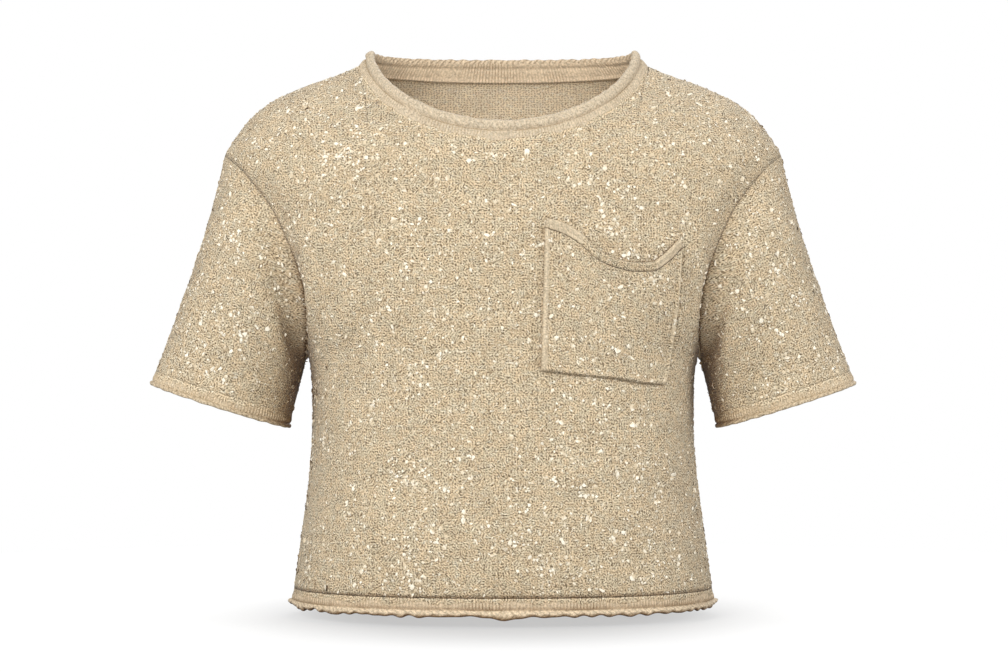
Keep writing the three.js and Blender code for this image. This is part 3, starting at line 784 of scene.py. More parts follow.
def hem_seam(turn):
    """The hem seam all round, from the middle of the front."""
    angle = turn * 2 * math.pi
    power = 2 / SECTION_POWER
    sine, cosine = np.sin(angle), np.cos(angle)
    depth = np.where(cosine >= 0, depth_at[FRONT](HEM_SEAM_Z), depth_at[BACK](HEM_SEAM_Z))
    x = half_at(HEM_SEAM_Z) * np.sign(sine) * np.abs(sine) ** power
    y = -np.sign(cosine) * depth * np.abs(cosine) ** power
    return np.stack([x, y, HEM_SEAM_Z + 0 * x], -1)


def hem_band(name, material):
    """The ribbed hem band with its small rolled and wavy edge."""
    turn, count, _ = even_places(hem_seam, RIB_PITCH)
    feet = hem_seam(turn)
    along = np.tile([0.0, 0, -1], (len(feet), 1))
    out = ring_out(feet, along, np.array([0, 0, HEM_SEAM_Z]))
    wave = 2.2 * wander(turn, 17, 7, (34, 92)) + 2.0 * wander(turn, 18, 5, (7, 22))
    in_front = feet[:, 1] < 0
    tongue = np.where(in_front, TONGUE_DROP * np.exp(-((feet[:, 0] / TONGUE_WIDTH) ** 2)), 0)
    corner = np.exp(-((feet[:, 1] / CORNER["width"]) ** 2))
    drop = wave + tongue - CORNER["rise"] * corner
    flare = CORNER["flare"] * corner + 0.5 * wander(turn, 8, 8, (30, 90))
    twist = 0.16 * np.sin(2 * math.pi * 92 * turn + 2 * wander(turn, 3, 4, (5, 15)))
    outline = band_outline(HEM_BAND, rib_wave(count, 12), drop, flare, twist)
    return swept_band(name, feet, along, out, outline, material)


def cuff_band(name, mirror, seed, material):
    """A ribbed cuff with a rolled edge."""
    turn, count, _ = even_places(lambda t: cuff_ring(t)[0], RIB_PITCH)
    feet, out = cuff_ring(turn)
    along = np.tile(cuff_down(), (len(feet), 1))
    flare = CUFF["flare"] * (CUFF_BAND["ribs"] + CUFF_BAND["roll"]) + 0.4 * wander(turn, seed, 6, (8, 30))
    drop = 0.7 * wander(turn, seed + 1, 6, (8, 34))
    twist = 0.16 * np.sin(2 * math.pi * 34 * turn + 2 * wander(turn, seed + 2, 4, (3, 9)))
    outline = band_outline(CUFF_BAND, rib_wave(count, seed + 3), drop, flare, twist)
    flip = np.array([mirror, 1, 1])
    return swept_band(name, feet * flip, along * flip, out * flip, outline, material)


pocket_left = curve_of(POCKET_LEFT)
pocket_right = curve_of(POCKET_RIGHT)
pocket_bottom = curve_of(POCKET_BOTTOM)
pocket_mouth = curve_of(POCKET_MOUTH)


def pocket_place(p, q):
    """Places of the pocket seen from the front. p runs from left to right, q from the bottom up."""
    low_x = POCKET_BOTTOM[0][0] + (POCKET_BOTTOM[-1][0] - POCKET_BOTTOM[0][0]) * p
    high_x = POCKET_MOUTH[0][0] + (POCKET_MOUTH[-1][0] - POCKET_MOUTH[0][0]) * p
    z = pocket_bottom(low_x) + (pocket_mouth(high_x) - pocket_bottom(low_x)) * q
    return pocket_left(z) + (pocket_right(z) - pocket_left(z)) * p, z


def pocket_stand(p, q):
    """How far the pocket's inner face stands off the front."""
    return SEAM_GAP + POCKET_STAND * np.sin(math.pi * p) * q * q


def pocket_bag(name, material):
    """The patch pocket's bag with a raised ridge along its three sewn edges."""
    p, q = np.meshgrid(np.linspace(0, 1, 105), np.linspace(0, 1, 105))
    x, z = pocket_place(p, q)
    base = body_point(x, z, FRONT)
    normals = body_normal(base, FRONT)
    across, up = distances(base, 1), distances(base, 0)
    edge = np.minimum(np.minimum(across, across[:, -1:] - across), up)
    ridge = POCKET_RIDGE * np.exp(-(((edge - 2.2) / 1.5) ** 2)) - 1.0 * np.exp(-((edge / 0.9) ** 2))
    hollow = -0.6 * np.exp(-(((edge - 5.2) / 1.6) ** 2))
    rng = np.random.default_rng(21)
    uneven = rng.uniform(-1, 1, x.shape) * 0.2
    off = pocket_stand(p, q) + POCKET_WALL + ridge + hollow + uneven
    off = np.maximum(off, pocket_stand(p, q) + 0.5)
    outer = base + normals * off[..., None]
    uv = np.stack([across, up], -1)
    thickness = (off - pocket_stand(p, q))[..., None]
    piece = cloth_shell(name, outer, normals * thickness, 1.0, uv, material, False)
    parts = np.zeros(len(piece.data.polygons), np.int32)
    piece.data.polygons.foreach_get("material_index", parts)
    to_sides = np.minimum(across, across[:, -1:] - across)
    strip = (to_sides[:-1, :-1] < POCKET_STRIP).ravel()
    parts[: len(strip)][strip] = 2
    piece.data.polygons.foreach_set("material_index", parts)
    return piece, outer, normals, uv, np.minimum(edge, up[-1:] - up)


def pocket_band(name, material):
    """The band along the pocket's drooping mouth, smooth at its ends and ribbed between."""
    p = np.linspace(0, 1, 45 * STATIONS_PER_RIB + 1)
    x, z = pocket_place(p, np.ones_like(p))
    feet = body_point(x, z, FRONT)
    out = body_normal(feet, FRONT)
    up = unit(body_point(x, z + 1, FRONT) - feet)
    run = unit(np.gradient(feet, axis=0))
    along = unit(up - run * (up * run).sum(-1, keepdims=True) * 0.6)
    off = pocket_stand(p, 1.0)
    smooth_end = np.exp(-(((p - 0.08) / 0.2) ** 2)) + 0.9 * np.exp(-(((p - 0.94) / 0.16) ** 2))
    smooth_end = np.clip(smooth_end, 0, 1)
    wave = 0.5 - 0.5 * np.cos(2 * math.pi * np.arange(len(p)) / STATIONS_PER_RIB)
    rib = wave * 0.8 * (1 - smooth_end)
    thick = POCKET_BAND_WALL + 0.7 * smooth_end
    high = POCKET_BAND_HEIGHT * (0.86 + 0.14 * smooth_end)
    outline = [
        (SEAM_GAP + 0 * p, off),
        (SEAM_GAP + 0 * p, off + 1.0),
        (0.5 + 0 * p, off + 1.8),
        (high * 0.18, off + 2.2 + rib),
        (high * 0.36, off + 2.5 + rib + 0.3 * smooth_end),
        (high * 0.52, off + 2.3 + 0.5 * rib + 0.7 * smooth_end),
        (high * 0.66, off + thick),
        (high * 0.82, off + thick + 0.2),
        (high * 0.95, off + thick * 0.8),
        (high, off + thick * 0.45),
        (high * 0.93, off + 0.3),
        (high * 0.5, off + 0 * p),
    ]
    outline = np.stack([np.stack(pair, -1) for pair in outline], 1)
    middle = (smooth_end < 0.45).astype(int)
    return swept_band(name, feet, along, out, outline, material, False, middle)


# Sequins and pale slubs
DENSE_SPOTS = {
    "front": [
        (81, -349, 34),
        (48, -391, 34),
        (-2, -424, 44),
        (-136, -324, 30),
        (-103, -424, 40),
        (123, -416, 36),
        (-53, -349, 30),
        (98, -165, 30),
        (-128, -82, 36),
    ],
    "back": [(100, -390, 50), (-80, -410, 50), (0, -300, 50), (-120, -330, 40), (60, -150, 40)],
    "sleeve_left": [(223, -207, 30), (198, -174, 26), (260, -250, 26)],
    "sleeve_right": [(-228, -232, 30), (-245, -170, 28)],
}


def scatter(outer, normals, edge, count, spots, seed):
    """Seeded places on a cloth face, thicker near the dense spots, with the cloth's own directions."""
    rng = np.random.default_rng(seed)
    rows, cols = outer.shape[:2]
    near = np.ones((rows, cols))
    for x, z, reach in spots:
        away = (outer[..., 0] - x) ** 2 + (outer[..., 2] - z) ** 2
        near += 1.8 * np.exp(-away / reach**2)
    coarse = rng.uniform(0.25, 1.4, (rows // 9 + 2, cols // 9 + 2)) ** 2
    near *= coarse[np.arange(rows)[:, None] // 9, np.arange(cols)[None] // 9]
    across = np.gradient(outer, axis=1)
    up = np.gradient(outer, axis=0)
    near *= np.linalg.norm(np.cross(across, up), axis=2)
    near[edge < 2.2] = 0
    near[0] = near[-1] = 0
    chosen = rng.choice(rows * cols, count, replace=False, p=near.ravel() / near.sum())
    r, c = np.divmod(chosen, cols)
    shift = rng.uniform(-0.5, 0.5, (count, 2))
    place = outer[r, c] + across[r, c] * shift[:, :1] + up[r, c] * shift[:, 1:]
    return place, unit(normals[r, c]), unit(across[r, c]), rng


def sequins(name, face, count, spots, seed, material):
    """Small bent sequins, caught at all angles in the knitting, as one joined mesh."""
    _, outer, normals, _, edge = face
    place, out, side, rng = scatter(outer, normals, edge, count, spots, seed)
    turn = rng.uniform(0, 2 * math.pi, count)[:, None]
    other = np.cross(out, side)
    along = side * np.cos(turn) + other * np.sin(turn)
    across = np.cross(out, along)
    tilt = rng.normal(0, 0.28, (count, 2))
    facing = unit(out + along * tilt[:, :1] + across * tilt[:, 1:])
    along = unit(along - facing * (along * facing).sum(-1, keepdims=True))
    across = np.cross(facing, along)
    length = rng.lognormal(0.0, 0.3, count)[:, None] * 1.5
    width = length * rng.uniform(0.45, 0.95, count)[:, None]
    rim = []
    for k in range(6):
        angle = k * math.pi / 3
        wobble = rng.uniform(0.6, 1.25, (count, 1))
        bend = 0.12 * length * math.cos(angle) ** 2
        rim.append(
            place
            + along * length * math.cos(angle) * wobble
            + across * width * math.sin(angle) * wobble
            + facing * (0.3 - bend)
        )
    top = place + facing * 0.38
    under = place + facing * 0.05
    points = np.stack([*rim, top, under], 1)
    faces = []
    for k in range(6):
        n = (k + 1) % 6
        faces.append((k, n, 6))
        faces.append((n, k, 7))
    faces = np.array(faces)
    every = (faces[None] + 8 * np.arange(count)[:, None, None]).reshape(-1, 3)
    piece = new_mesh(name, points.reshape(-1, 3) * MM, every.tolist(), material)
    piece.data.polygons.foreach_set("use_smooth", np.zeros(len(every), bool))
    return piece


def slubs(name, face, count, spots, seed, material):
    """Short thick loops of yarn that stand out of the stitches, as one joined mesh."""
    _, outer, normals, _, edge = face
    place, out, side, rng = scatter(outer, normals, edge, count, spots, seed)
    turn = rng.uniform(0, 2 * math.pi, count)[:, None]
    along = side * np.cos(turn) + np.cross(out, side) * np.sin(turn)
    across = np.cross(out, along)
    length = rng.uniform(1.2, 2.8, count)[:, None]
    thick = rng.uniform(0.26, 0.48, count)[:, None]
    curl = rng.uniform(-0.9, 0.9, count)[:, None]
    rings = []
    stations = 4
    for i in range(stations):
        t = i / (stations - 1) * 2 - 1
        middle = (
            place
            + along * length * t
            + across * curl * length * (t * t - 0.4)
            + out * (0.55 * (1 - t * t) - 0.1)
        )
        way = unit(along + across * 2 * curl * t - out * 1.1 * t * 0.5)
        sideways = unit(np.cross(out, way))
        upward = np.cross(way, sideways)
        size = thick * (1.0 if 0 < i < stations - 1 else 0.45)
        for k in range(4):
            angle = k * math.pi / 2 + math.pi / 4
            rings.append(middle + sideways * size * math.cos(angle) + upward * size * math.sin(angle))
    points = np.stack(rings, 1)
    faces = []
    for i in range(stations - 1):
        for k in range(4):
            n = (k + 1) % 4
            faces.append((i * 4 + k, i * 4 + n, (i + 1) * 4 + n, (i + 1) * 4 + k))
    faces.append((3, 2, 1, 0))
    last = (stations - 1) * 4
    faces.append((last, last + 1, last + 2, last + 3))
    faces = np.array(faces)
    every = (faces[None] + 4 * stations * np.arange(count)[:, None, None]).reshape(-1, 4)
    return new_mesh(name, points.reshape(-1, 3) * MM, every.tolist(), material)


# Painted shade in folds: how open a fold is, by ambient occlusion, where its colour starts and stops to deepen, and the
# tone it deepens to
PAINTED_FOLD_SHADE_RANGE = (0.14, 0.66)
PAINTED_FOLD_SHADE = (0.26, 0.15, 0.05)
# Yarn, grey yarn, pale yarn, and the painted shade down in the holes
CLOTH = ((0.78, 0.61, 0.395), (0.75, 0.625, 0.43), (1.0, 0.91, 0.72), (0.1, 0.065, 0.028))
# The inside's yarns and holes are paler than the outside's, partly as painted light that brightens the shaded inside of
# the piece.
CLOTH_INSIDE_PAINTED_LIGHT = ((1.0, 0.83, 0.58), (1.0, 0.86, 0.63), (1.0, 0.94, 0.78), (0.46, 0.31, 0.17))


# Materials
def new_group(name, inputs, outputs):
    """An empty shader node group with its named sockets."""
    group = bpy.data.node_groups.new(name, "ShaderNodeTree")
    for label, kind, value in inputs:
        socket = group.interface.new_socket(label, in_out="INPUT", socket_type=kind)
        if value is not None:
            socket.default_value = value
    for label, kind in outputs:
        group.interface.new_socket(label, in_out="OUTPUT", socket_type=kind)
    return group, group.nodes.new("NodeGroupInput"), group.nodes.new("NodeGroupOutput")


def add_node(tree, kind, links=(), **settings):
    """A node with its settings, its values by input, and its links from other sockets."""
    node = tree.nodes.new(kind)
    for key, value in settings.items():
        if key == "values":
            for socket, number in value.items():
                node.inputs[socket].default_value = number
        else:
            setattr(node, key, value)
    for socket, source in links:
        tree.links.new(source, node.inputs[socket])
    return node


def maths(tree, operation, first, second=None, third=None, clamp=False):
    """The result of one sum on sockets or numbers."""
    node = tree.nodes.new("ShaderNodeMath")
    node.operation = operation
    node.use_clamp = clamp
    for i, value in enumerate((first, second, third)):
        if value is None:
            continue
        if isinstance(value, (int, float)):
            node.inputs[i].default_value = value
        else:
            tree.links.new(value, node.inputs[i])
    return node.outputs[0]


def mixed(tree, share, first, second, blend="MIX"):
    """Two colours mixed by a share."""
    node = tree.nodes.new("ShaderNodeMix")
    node.data_type = "RGBA"
    node.blend_type = blend
    for socket, value in ((node.inputs[0], share), (node.inputs[6], first), (node.inputs[7], second)):
        if isinstance(value, (int, float)):
            socket.default_value = value
        elif isinstance(value, tuple):
            socket.default_value = (*value, 1)
        else:
            tree.links.new(value, socket)
    return node.outputs[2]


def spread(tree, value, low, high, to_low=0.0, to_high=1.0):
    """A value spread smoothly from one range onto another."""
    node = tree.nodes.new("ShaderNodeMapRange")
    node.interpolation_type = "SMOOTHSTEP"
    tree.links.new(value, node.inputs[0])
    for i, number in enumerate((low, high, to_low, to_high), 1):
        node.inputs[i].default_value = number
    return node.outputs[0]


def knit_group():
    """Uneven knitted stitches: pale crossing yarns round small holes darkened with painted shade, with slubs and soft
    patches.
    """
    group, start, end = new_group(
        "knit stitches",
        [
            ("Vector", "NodeSocketVector", None),
            ("Yarn", "NodeSocketColor", (0.6, 0.48, 0.31, 1)),
            ("Grey yarn", "NodeSocketColor", (0.66, 0.57, 0.42, 1)),
            ("Pale yarn", "NodeSocketColor", (0.85, 0.76, 0.6, 1)),
            ("Hole shade", "NodeSocketColor", (0.2, 0.14, 0.07, 1)),
            ("Stitches per metre", "NodeSocketFloat", 360.0),
            ("Evenness", "NodeSocketFloat", 0.8),
            ("Swirl", "NodeSocketFloat", 9.0),
            ("Grid", "NodeSocketFloat", 0.3),
        ],
        [("Colour", "NodeSocketColor"), ("Height", "NodeSocketFloat")],
    )
    put = start.outputs
    warp = add_node(group, "ShaderNodeTexNoise", [("Vector", put["Vector"])], values={"Scale": 130.0, "Detail": 1.0})
    warp_shift = add_node(
        group,
        "ShaderNodeVectorMath",
        [(0, warp.outputs["Color"])],
        operation="MULTIPLY_ADD",
        values={1: (0.0013, 0.0013, 0.0013), 2: (-0.00065, -0.00065, -0.00065)},
    )
    place = add_node(group, "ShaderNodeVectorMath", [(0, put["Vector"]), (1, warp_shift.outputs[0])], operation="ADD")
    swirl = add_node(group, "ShaderNodeTexNoise", [("Vector", put["Vector"])], values={"Scale": 105.0, "Detail": 1.0})
    lie = maths(group, "MULTIPLY_ADD", swirl.outputs[0], put["Swirl"], 0.0)
    strands = add_node(
        group,
        "ShaderNodeTexGabor",
        [
            ("Vector", place.outputs[0]),
            ("Scale", put["Stitches per metre"]),
            ("Anisotropy", put["Evenness"]),
            ("Orientation", lie),
        ],
        gabor_type="2D",
        values={"Frequency": 2.0},
    )
    cells = add_node(
        group,
        "ShaderNodeTexVoronoi",
        [("Vector", place.outputs[0]), ("Scale", maths(group, "MULTIPLY", put["Stitches per metre"], 1.85))],
        voronoi_dimensions="2D",
        values={"Randomness": 0.5},
    )
    strand = spread(group, strands.outputs["Value"], 0.5, 0.85)
    between = spread(group, strands.outputs["Value"], 0.26, 0.62)
    stitches = spread(group, cells.outputs["Distance"], 0.12, 0.42)
    open_hole = maths(group, "MULTIPLY", between, maths(group, "SUBTRACT", 1.0, put["Grid"]))
    open_hole = maths(group, "MULTIPLY_ADD", stitches, put["Grid"], open_hole)
    fibre = add_node(
        group, "ShaderNodeTexNoise", [("Vector", place.outputs[0])], values={"Scale": 700.0, "Detail": 2.0}
    )
    open_hole = maths(group, "MULTIPLY", open_hole, spread(group, fibre.outputs[0], 0.28, 0.4, 0.2, 1.0))
    specks = add_node(
        group,
        "ShaderNodeTexVoronoi",
        [("Vector", place.outputs[0])],
        voronoi_dimensions="2D",
        values={"Scale": 260.0, "Randomness": 1.0},
    )
    picked = add_node(group, "ShaderNodeSeparateColor", [(0, specks.outputs["Color"])])
    # Painted shade: sparse dark specks deepen some holes further.
    speck = maths(group, "ADD", specks.outputs["Distance"], maths(group, "GREATER_THAN", picked.outputs[0], 0.2))
    open_hole = maths(group, "MULTIPLY", open_hole, spread(group, speck, 0.12, 0.28, 0.3, 1.0))
    patch = add_node(
        group, "ShaderNodeTexNoise", [("Vector", put["Vector"])], values={"Scale": 42.0, "Detail": 3.0}
    )
    tint = add_node(
        group, "ShaderNodeTexNoise", [("Vector", put["Vector"])], values={"Scale": 115.0, "Detail": 2.0}
    )
    slub = add_node(
        group, "ShaderNodeTexNoise", [("Vector", place.outputs[0])], values={"Scale": 230.0, "Detail": 1.0}
    )
    paler = maths(group, "MULTIPLY", spread(group, slub.outputs[0], 0.6, 0.74), 0.7)
    tone = maths(group, "MULTIPLY_ADD", patch.outputs[0], 0.34, 0.83)
    grain = maths(group, "MULTIPLY_ADD", fibre.outputs[0], 0.7, 0.65)
    yarn = mixed(group, spread(group, tint.outputs[0], 0.4, 0.62), put["Yarn"], put["Grey yarn"])
    yarn = mixed(group, maths(group, "MAXIMUM", paler, maths(group, "MULTIPLY", strand, 0.55)), yarn, put["Pale yarn"])
    toned = maths(group, "MULTIPLY", tone, grain)
    shade = add_node(group, "ShaderNodeCombineColor", [(0, toned), (1, toned), (2, toned)])
    yarn = mixed(group, 1.0, yarn, shade.outputs[0], "MULTIPLY")
    # Painted shade: the holes between the stitches take the dark hole colour.
    colour = mixed(group, open_hole, put["Hole shade"], yarn)
    height = maths(group, "MULTIPLY_ADD", strand, 0.5, maths(group, "MULTIPLY", open_hole, 0.5))
    height = maths(group, "MULTIPLY_ADD", fibre.outputs[0], 0.35, height)
    group.links.new(colour, end.inputs["Colour"])
    group.links.new(height, end.inputs["Height"])
    return group


KNIT = knit_group()


def with_painted_fold_shade(tree, colour, tone):
    """A colour with painted shade: it turns deeper and warmer where ambient occlusion finds folds."""
    deep = add_node(tree, "ShaderNodeAmbientOcclusion", samples=4, values={"Distance": 0.11})
    share = spread(tree, deep.outputs["AO"], PAINTED_FOLD_SHADE_RANGE[0], PAINTED_FOLD_SHADE_RANGE[1])
    return mixed(tree, 1.0, colour, mixed(tree, share, tone, (1.0, 1.0, 1.0)), "MULTIPLY")


def knit_material(name, colours, stitches, evenness, swirl, grid, bump, fold_shade_tone, roughness=0.82):
    """Knitted cloth that follows the piece's own map, with painted shade deepening its colour in folds."""
    material = bpy.data.materials.new(name)
    material.use_nodes = True
    tree = material.node_tree
    shader = tree.nodes["Principled BSDF"]
    shader.inputs["Roughness"].default_value = roughness
    shader.inputs["Sheen Weight"].default_value = 0.15
    shader.inputs["Sheen Roughness"].default_value = 0.5
    shader.inputs["Specular IOR Level"].default_value = 0.25
    cloth = add_node(tree, "ShaderNodeUVMap", uv_map="Cloth")
    knit = add_node(
        tree,
        "ShaderNodeGroup",
        [],
        node_tree=KNIT,
    )
    tree.links.new(cloth.outputs[0], knit.inputs["Vector"])
    for socket, colour in zip(("Yarn", "Grey yarn", "Pale yarn", "Hole shade"), colours):
        knit.inputs[socket].default_value = (*colour, 1)
    knit.inputs["Stitches per metre"].default_value = stitches
    knit.inputs["Evenness"].default_value = evenness
    knit.inputs["Swirl"].default_value = swirl
    knit.inputs["Grid"].default_value = grid
    raised = add_node(
        tree,
        "ShaderNodeBump",
        [("Height", knit.outputs["Height"])],
        values={"Strength": bump, "Distance": 0.0009},
    )
    # Painted shade: the knit's colour deepens in folds found by ambient occlusion.
    tree.links.new(with_painted_fold_shade(tree, knit.outputs["Colour"], fold_shade_tone), shader.inputs["Base Color"])
    tree.links.new(raised.outputs[0], shader.inputs["Normal"])
    return material


def ribbing_group():
    """Ribs with painted shade in their furrows, a rolled edge of smooth twisted yarn with painted shade in the grooves
    of its twist and a painted shadow under it, and the dark line of the seam.
    """
    group, start, end = new_group(
        "ribbed band",
        [
            ("Vector", "NodeSocketVector", None),
            ("Yarn", "NodeSocketColor", (0.66, 0.55, 0.38, 1)),
            ("Furrow shade", "NodeSocketColor", (0.36, 0.26, 0.14, 1)),
            ("Rib pitch", "NodeSocketFloat", RIB_PITCH * MM),
            ("Roll start", "NodeSocketFloat", 0.0098),
            ("Roll end", "NodeSocketFloat", 0.026),
            ("Seam waves", "NodeSocketFloat", 0.01),
            ("Braid groove and shade", "NodeSocketFloat", 0.2),
            ("Furrow shade strength", "NodeSocketFloat", 0.8),
        ],
        [("Colour", "NodeSocketColor"), ("Height", "NodeSocketFloat"), ("Cloth", "NodeSocketFloat")],
    )
    put = start.outputs
    split = add_node(group, "ShaderNodeSeparateXYZ", [(0, put["Vector"])])
    along, across = split.outputs[0], split.outputs[1]
    turns = maths(group, "MULTIPLY", maths(group, "DIVIDE", along, put["Rib pitch"]), 2 * math.pi)
    wave = maths(group, "MULTIPLY_ADD", maths(group, "COSINE", turns), -0.5, 0.5)
    before = maths(group, "LESS_THAN", across, put["Roll start"])
    after = maths(group, "GREATER_THAN", across, put["Roll end"])
    ribs = maths(group, "ADD", before, after, clamp=True)
    fray = add_node(group, "ShaderNodeTexNoise", [("Vector", put["Vector"])], values={"Scale": 420.0, "Detail": 2.0})
    patch = add_node(group, "ShaderNodeTexNoise", [("Vector", put["Vector"])], values={"Scale": 55.0, "Detail": 2.0})
    twisted = add_node(
        group,
        "ShaderNodeMapping",
        [(0, put["Vector"])],
        values={2: (0, 0, 0.6), 3: (520.0, 130.0, 1.0)},
    )
    fibres = add_node(group, "ShaderNodeTexNoise", [("Vector", twisted.outputs[0])], values={"Scale": 1.0, "Detail": 2.0})
    # Painted shade: the furrows between the ribs take the dark furrow colour.
    furrow_shade = maths(group, "MULTIPLY", spread(group, wave, 0.0, 0.6, 1.0, 0.0), ribs)
    furrow_shade = maths(group, "MULTIPLY", furrow_shade, spread(group, fray.outputs[0], 0.35, 0.6, 0.2, 1.0))
    faded = add_node(group, "ShaderNodeTexNoise", [("Vector", put["Vector"])], values={"Scale": 24.0, "Detail": 1.0})
    furrow_shade = maths(group, "MULTIPLY", furrow_shade, spread(group, faded.outputs[0], 0.36, 0.6, 0.2, 1.0))
    furrow_shade = maths(group, "MULTIPLY", furrow_shade, put["Furrow shade strength"])
    roll_middle = maths(group, "MULTIPLY", maths(group, "ADD", put["Roll start"], put["Roll end"]), 0.5)
    slant = maths(group, "ABSOLUTE", maths(group, "SUBTRACT", across, roll_middle))
    turned = maths(group, "ADD", maths(group, "DIVIDE", along, 0.0056), maths(group, "DIVIDE", slant, 0.007))
    turned = maths(group, "MULTIPLY_ADD", patch.outputs[0], 2.6, turned)
    # The grooves of the roll's twist: they lower its height, and their dark colour is painted shade.
    plait = maths(group, "MULTIPLY_ADD", maths(group, "COSINE", maths(group, "MULTIPLY", turned, 2 * math.pi)), -0.5, 0.5)
    plait = spread(group, plait, 0.0, 0.4, 1.0, 0.0)
    on_roll = maths(group, "SUBTRACT", 1.0, ribs)
    plait = maths(group, "MULTIPLY", maths(group, "MULTIPLY", plait, on_roll), put["Braid groove and shade"])
    border = maths(group, "MULTIPLY_ADD", patch.outputs[0], put["Seam waves"], -0.0025)
    from_border = maths(group, "SUBTRACT", across, border)
    above = maths(group, "LESS_THAN", from_border, 0.0)
    seam = spread(group, maths(group, "ABSOLUTE", from_border), 0.0002, 0.0009, 0.9, 0.0)
    seam = maths(group, "MULTIPLY", seam, spread(group, fray.outputs[0], 0.36, 0.56))
    dark = maths(group, "MAXIMUM", furrow_shade, seam)
    dark = maths(group, "MAXIMUM", dark, plait)
    # Painted shadow: a dark ragged line just under the rolled edge.
    ragged = maths(group, "MULTIPLY_ADD", fray.outputs[0], 0.0016, maths(group, "SUBTRACT", across, put["Roll start"]))
    shadow_under_roll = spread(group, maths(group, "ABSOLUTE", maths(group, "SUBTRACT", ragged, 0.0008)), 0.0002, 0.0012, 1.0, 0.0)
    dark = maths(group, "MAXIMUM", dark, maths(group, "MULTIPLY", shadow_under_roll, spread(group, faded.outputs[0], 0.3, 0.55)))
    tone = maths(group, "MULTIPLY_ADD", patch.outputs[0], 0.3, 0.85)
    grain = maths(group, "MULTIPLY_ADD", fibres.outputs[0], 0.4, 0.8)
    grain = maths(group, "MULTIPLY", grain, spread(group, fray.outputs[0], 0.3, 0.62, 0.68, 1.12))
    toned = maths(group, "MULTIPLY", tone, grain)
    shade = add_node(group, "ShaderNodeCombineColor", [(0, toned), (1, toned), (2, toned)])
    yarn = mixed(group, 1.0, put["Yarn"], shade.outputs[0], "MULTIPLY")
    colour = mixed(group, maths(group, "MULTIPLY", dark, 0.8), yarn, put["Furrow shade"])
    height = maths(group, "MULTIPLY_ADD", fibres.outputs[0], 0.5, maths(group, "MULTIPLY", fray.outputs[0], 0.6))
    height = maths(group, "SUBTRACT", height, plait)
    group.links.new(colour, end.inputs["Colour"])
    group.links.new(height, end.inputs["Height"])
    group.links.new(above, end.inputs["Cloth"])
    return group


RIBBING = ribbing_group()


def band_material(name, yarn, furrow_shade, roll_start, roll_end, braid_groove_and_shade, furrow_shade_strength, cloth_share, waves, bump):
    """Ribbed band yarn with painted shade in the furrows between the raised ribs."""
    material = bpy.data.materials.new(name)
    material.use_nodes = True
    tree = material.node_tree
    shader = tree.nodes["Principled BSDF"]
    shader.inputs["Roughness"].default_value = 0.65
    shader.inputs["Sheen Weight"].default_value = 0.12
    shader.inputs["Specular IOR Level"].default_value = 0.3
    cloth = add_node(tree, "ShaderNodeUVMap", uv_map="Cloth")
    band = add_node(tree, "ShaderNodeGroup", [], node_tree=RIBBING)
    tree.links.new(cloth.outputs[0], band.inputs["Vector"])
    band.inputs["Yarn"].default_value = (*yarn, 1)
    band.inputs["Furrow shade"].default_value = (*furrow_shade, 1)
    band.inputs["Roll start"].default_value = roll_start
    band.inputs["Roll end"].default_value = roll_end
    band.inputs["Braid groove and shade"].default_value = braid_groove_and_shade
    band.inputs["Furrow shade strength"].default_value = furrow_shade_strength
    band.inputs["Seam waves"].default_value = waves
    raised = add_node(
        tree, "ShaderNodeBump", [("Height", band.outputs["Height"])], values={"Strength": bump, "Distance": 0.0007}
    )
    knit = add_node(tree, "ShaderNodeGroup", [("Vector", cloth.outputs[0])], node_tree=KNIT)
    for socket, colour in zip(("Yarn", "Grey yarn", "Pale yarn", "Hole shade"), CLOTH):
        knit.inputs[socket].default_value = (*colour, 1)
    knit.inputs["Stitches per metre"].default_value = 238.0
    knit.inputs["Evenness"].default_value = 0.45
    share = maths(tree, "MAXIMUM", band.outputs["Cloth"], cloth_share)
    both = mixed(tree, share, band.outputs["Colour"], knit.outputs["Colour"])
    # Painted shade: the band's colour deepens in folds found by ambient occlusion.
    tree.links.new(with_painted_fold_shade(tree, both, PAINTED_FOLD_SHADE), shader.inputs["Base Color"])
    tree.links.new(raised.outputs[0], shader.inputs["Normal"])
    return material


def sequin_material(name, colour, roughness):
    """Small pale sequins and tape glints."""
    material = bpy.data.materials.new(name)
    material.use_nodes = True
    tree = material.node_tree
    shader = tree.nodes["Principled BSDF"]
    shader.inputs["Roughness"].default_value = roughness
    shader.inputs["Specular IOR Level"].default_value = 0.2
    where = add_node(tree, "ShaderNodeTexCoord")
    tint = add_node(
        tree, "ShaderNodeTexNoise", [("Vector", where.outputs["Object"])], values={"Scale": 180.0, "Detail": 1.0}
    )
    low, high = colour
    hue = mixed(tree, spread(tree, tint.outputs[0], 0.35, 0.62), low, high)
    # Painted shade: the sequins' colour deepens in folds found by ambient occlusion.
    tree.links.new(with_painted_fold_shade(tree, hue, PAINTED_FOLD_SHADE), shader.inputs["Base Color"])
    return material


# Both knits carry painted fold shade; the inside's is paler.
knit = knit_material("knit", CLOTH, 238.0, 0.4, 9.0, 0.35, 0.9, PAINTED_FOLD_SHADE)
knit_in = knit_material("knit_inside", CLOTH_INSIDE_PAINTED_LIGHT, 225.0, 0.5, 3.0, 0.75, 0.6, (0.8, 0.7, 0.58))
YARN = (0.65, 0.54, 0.395)
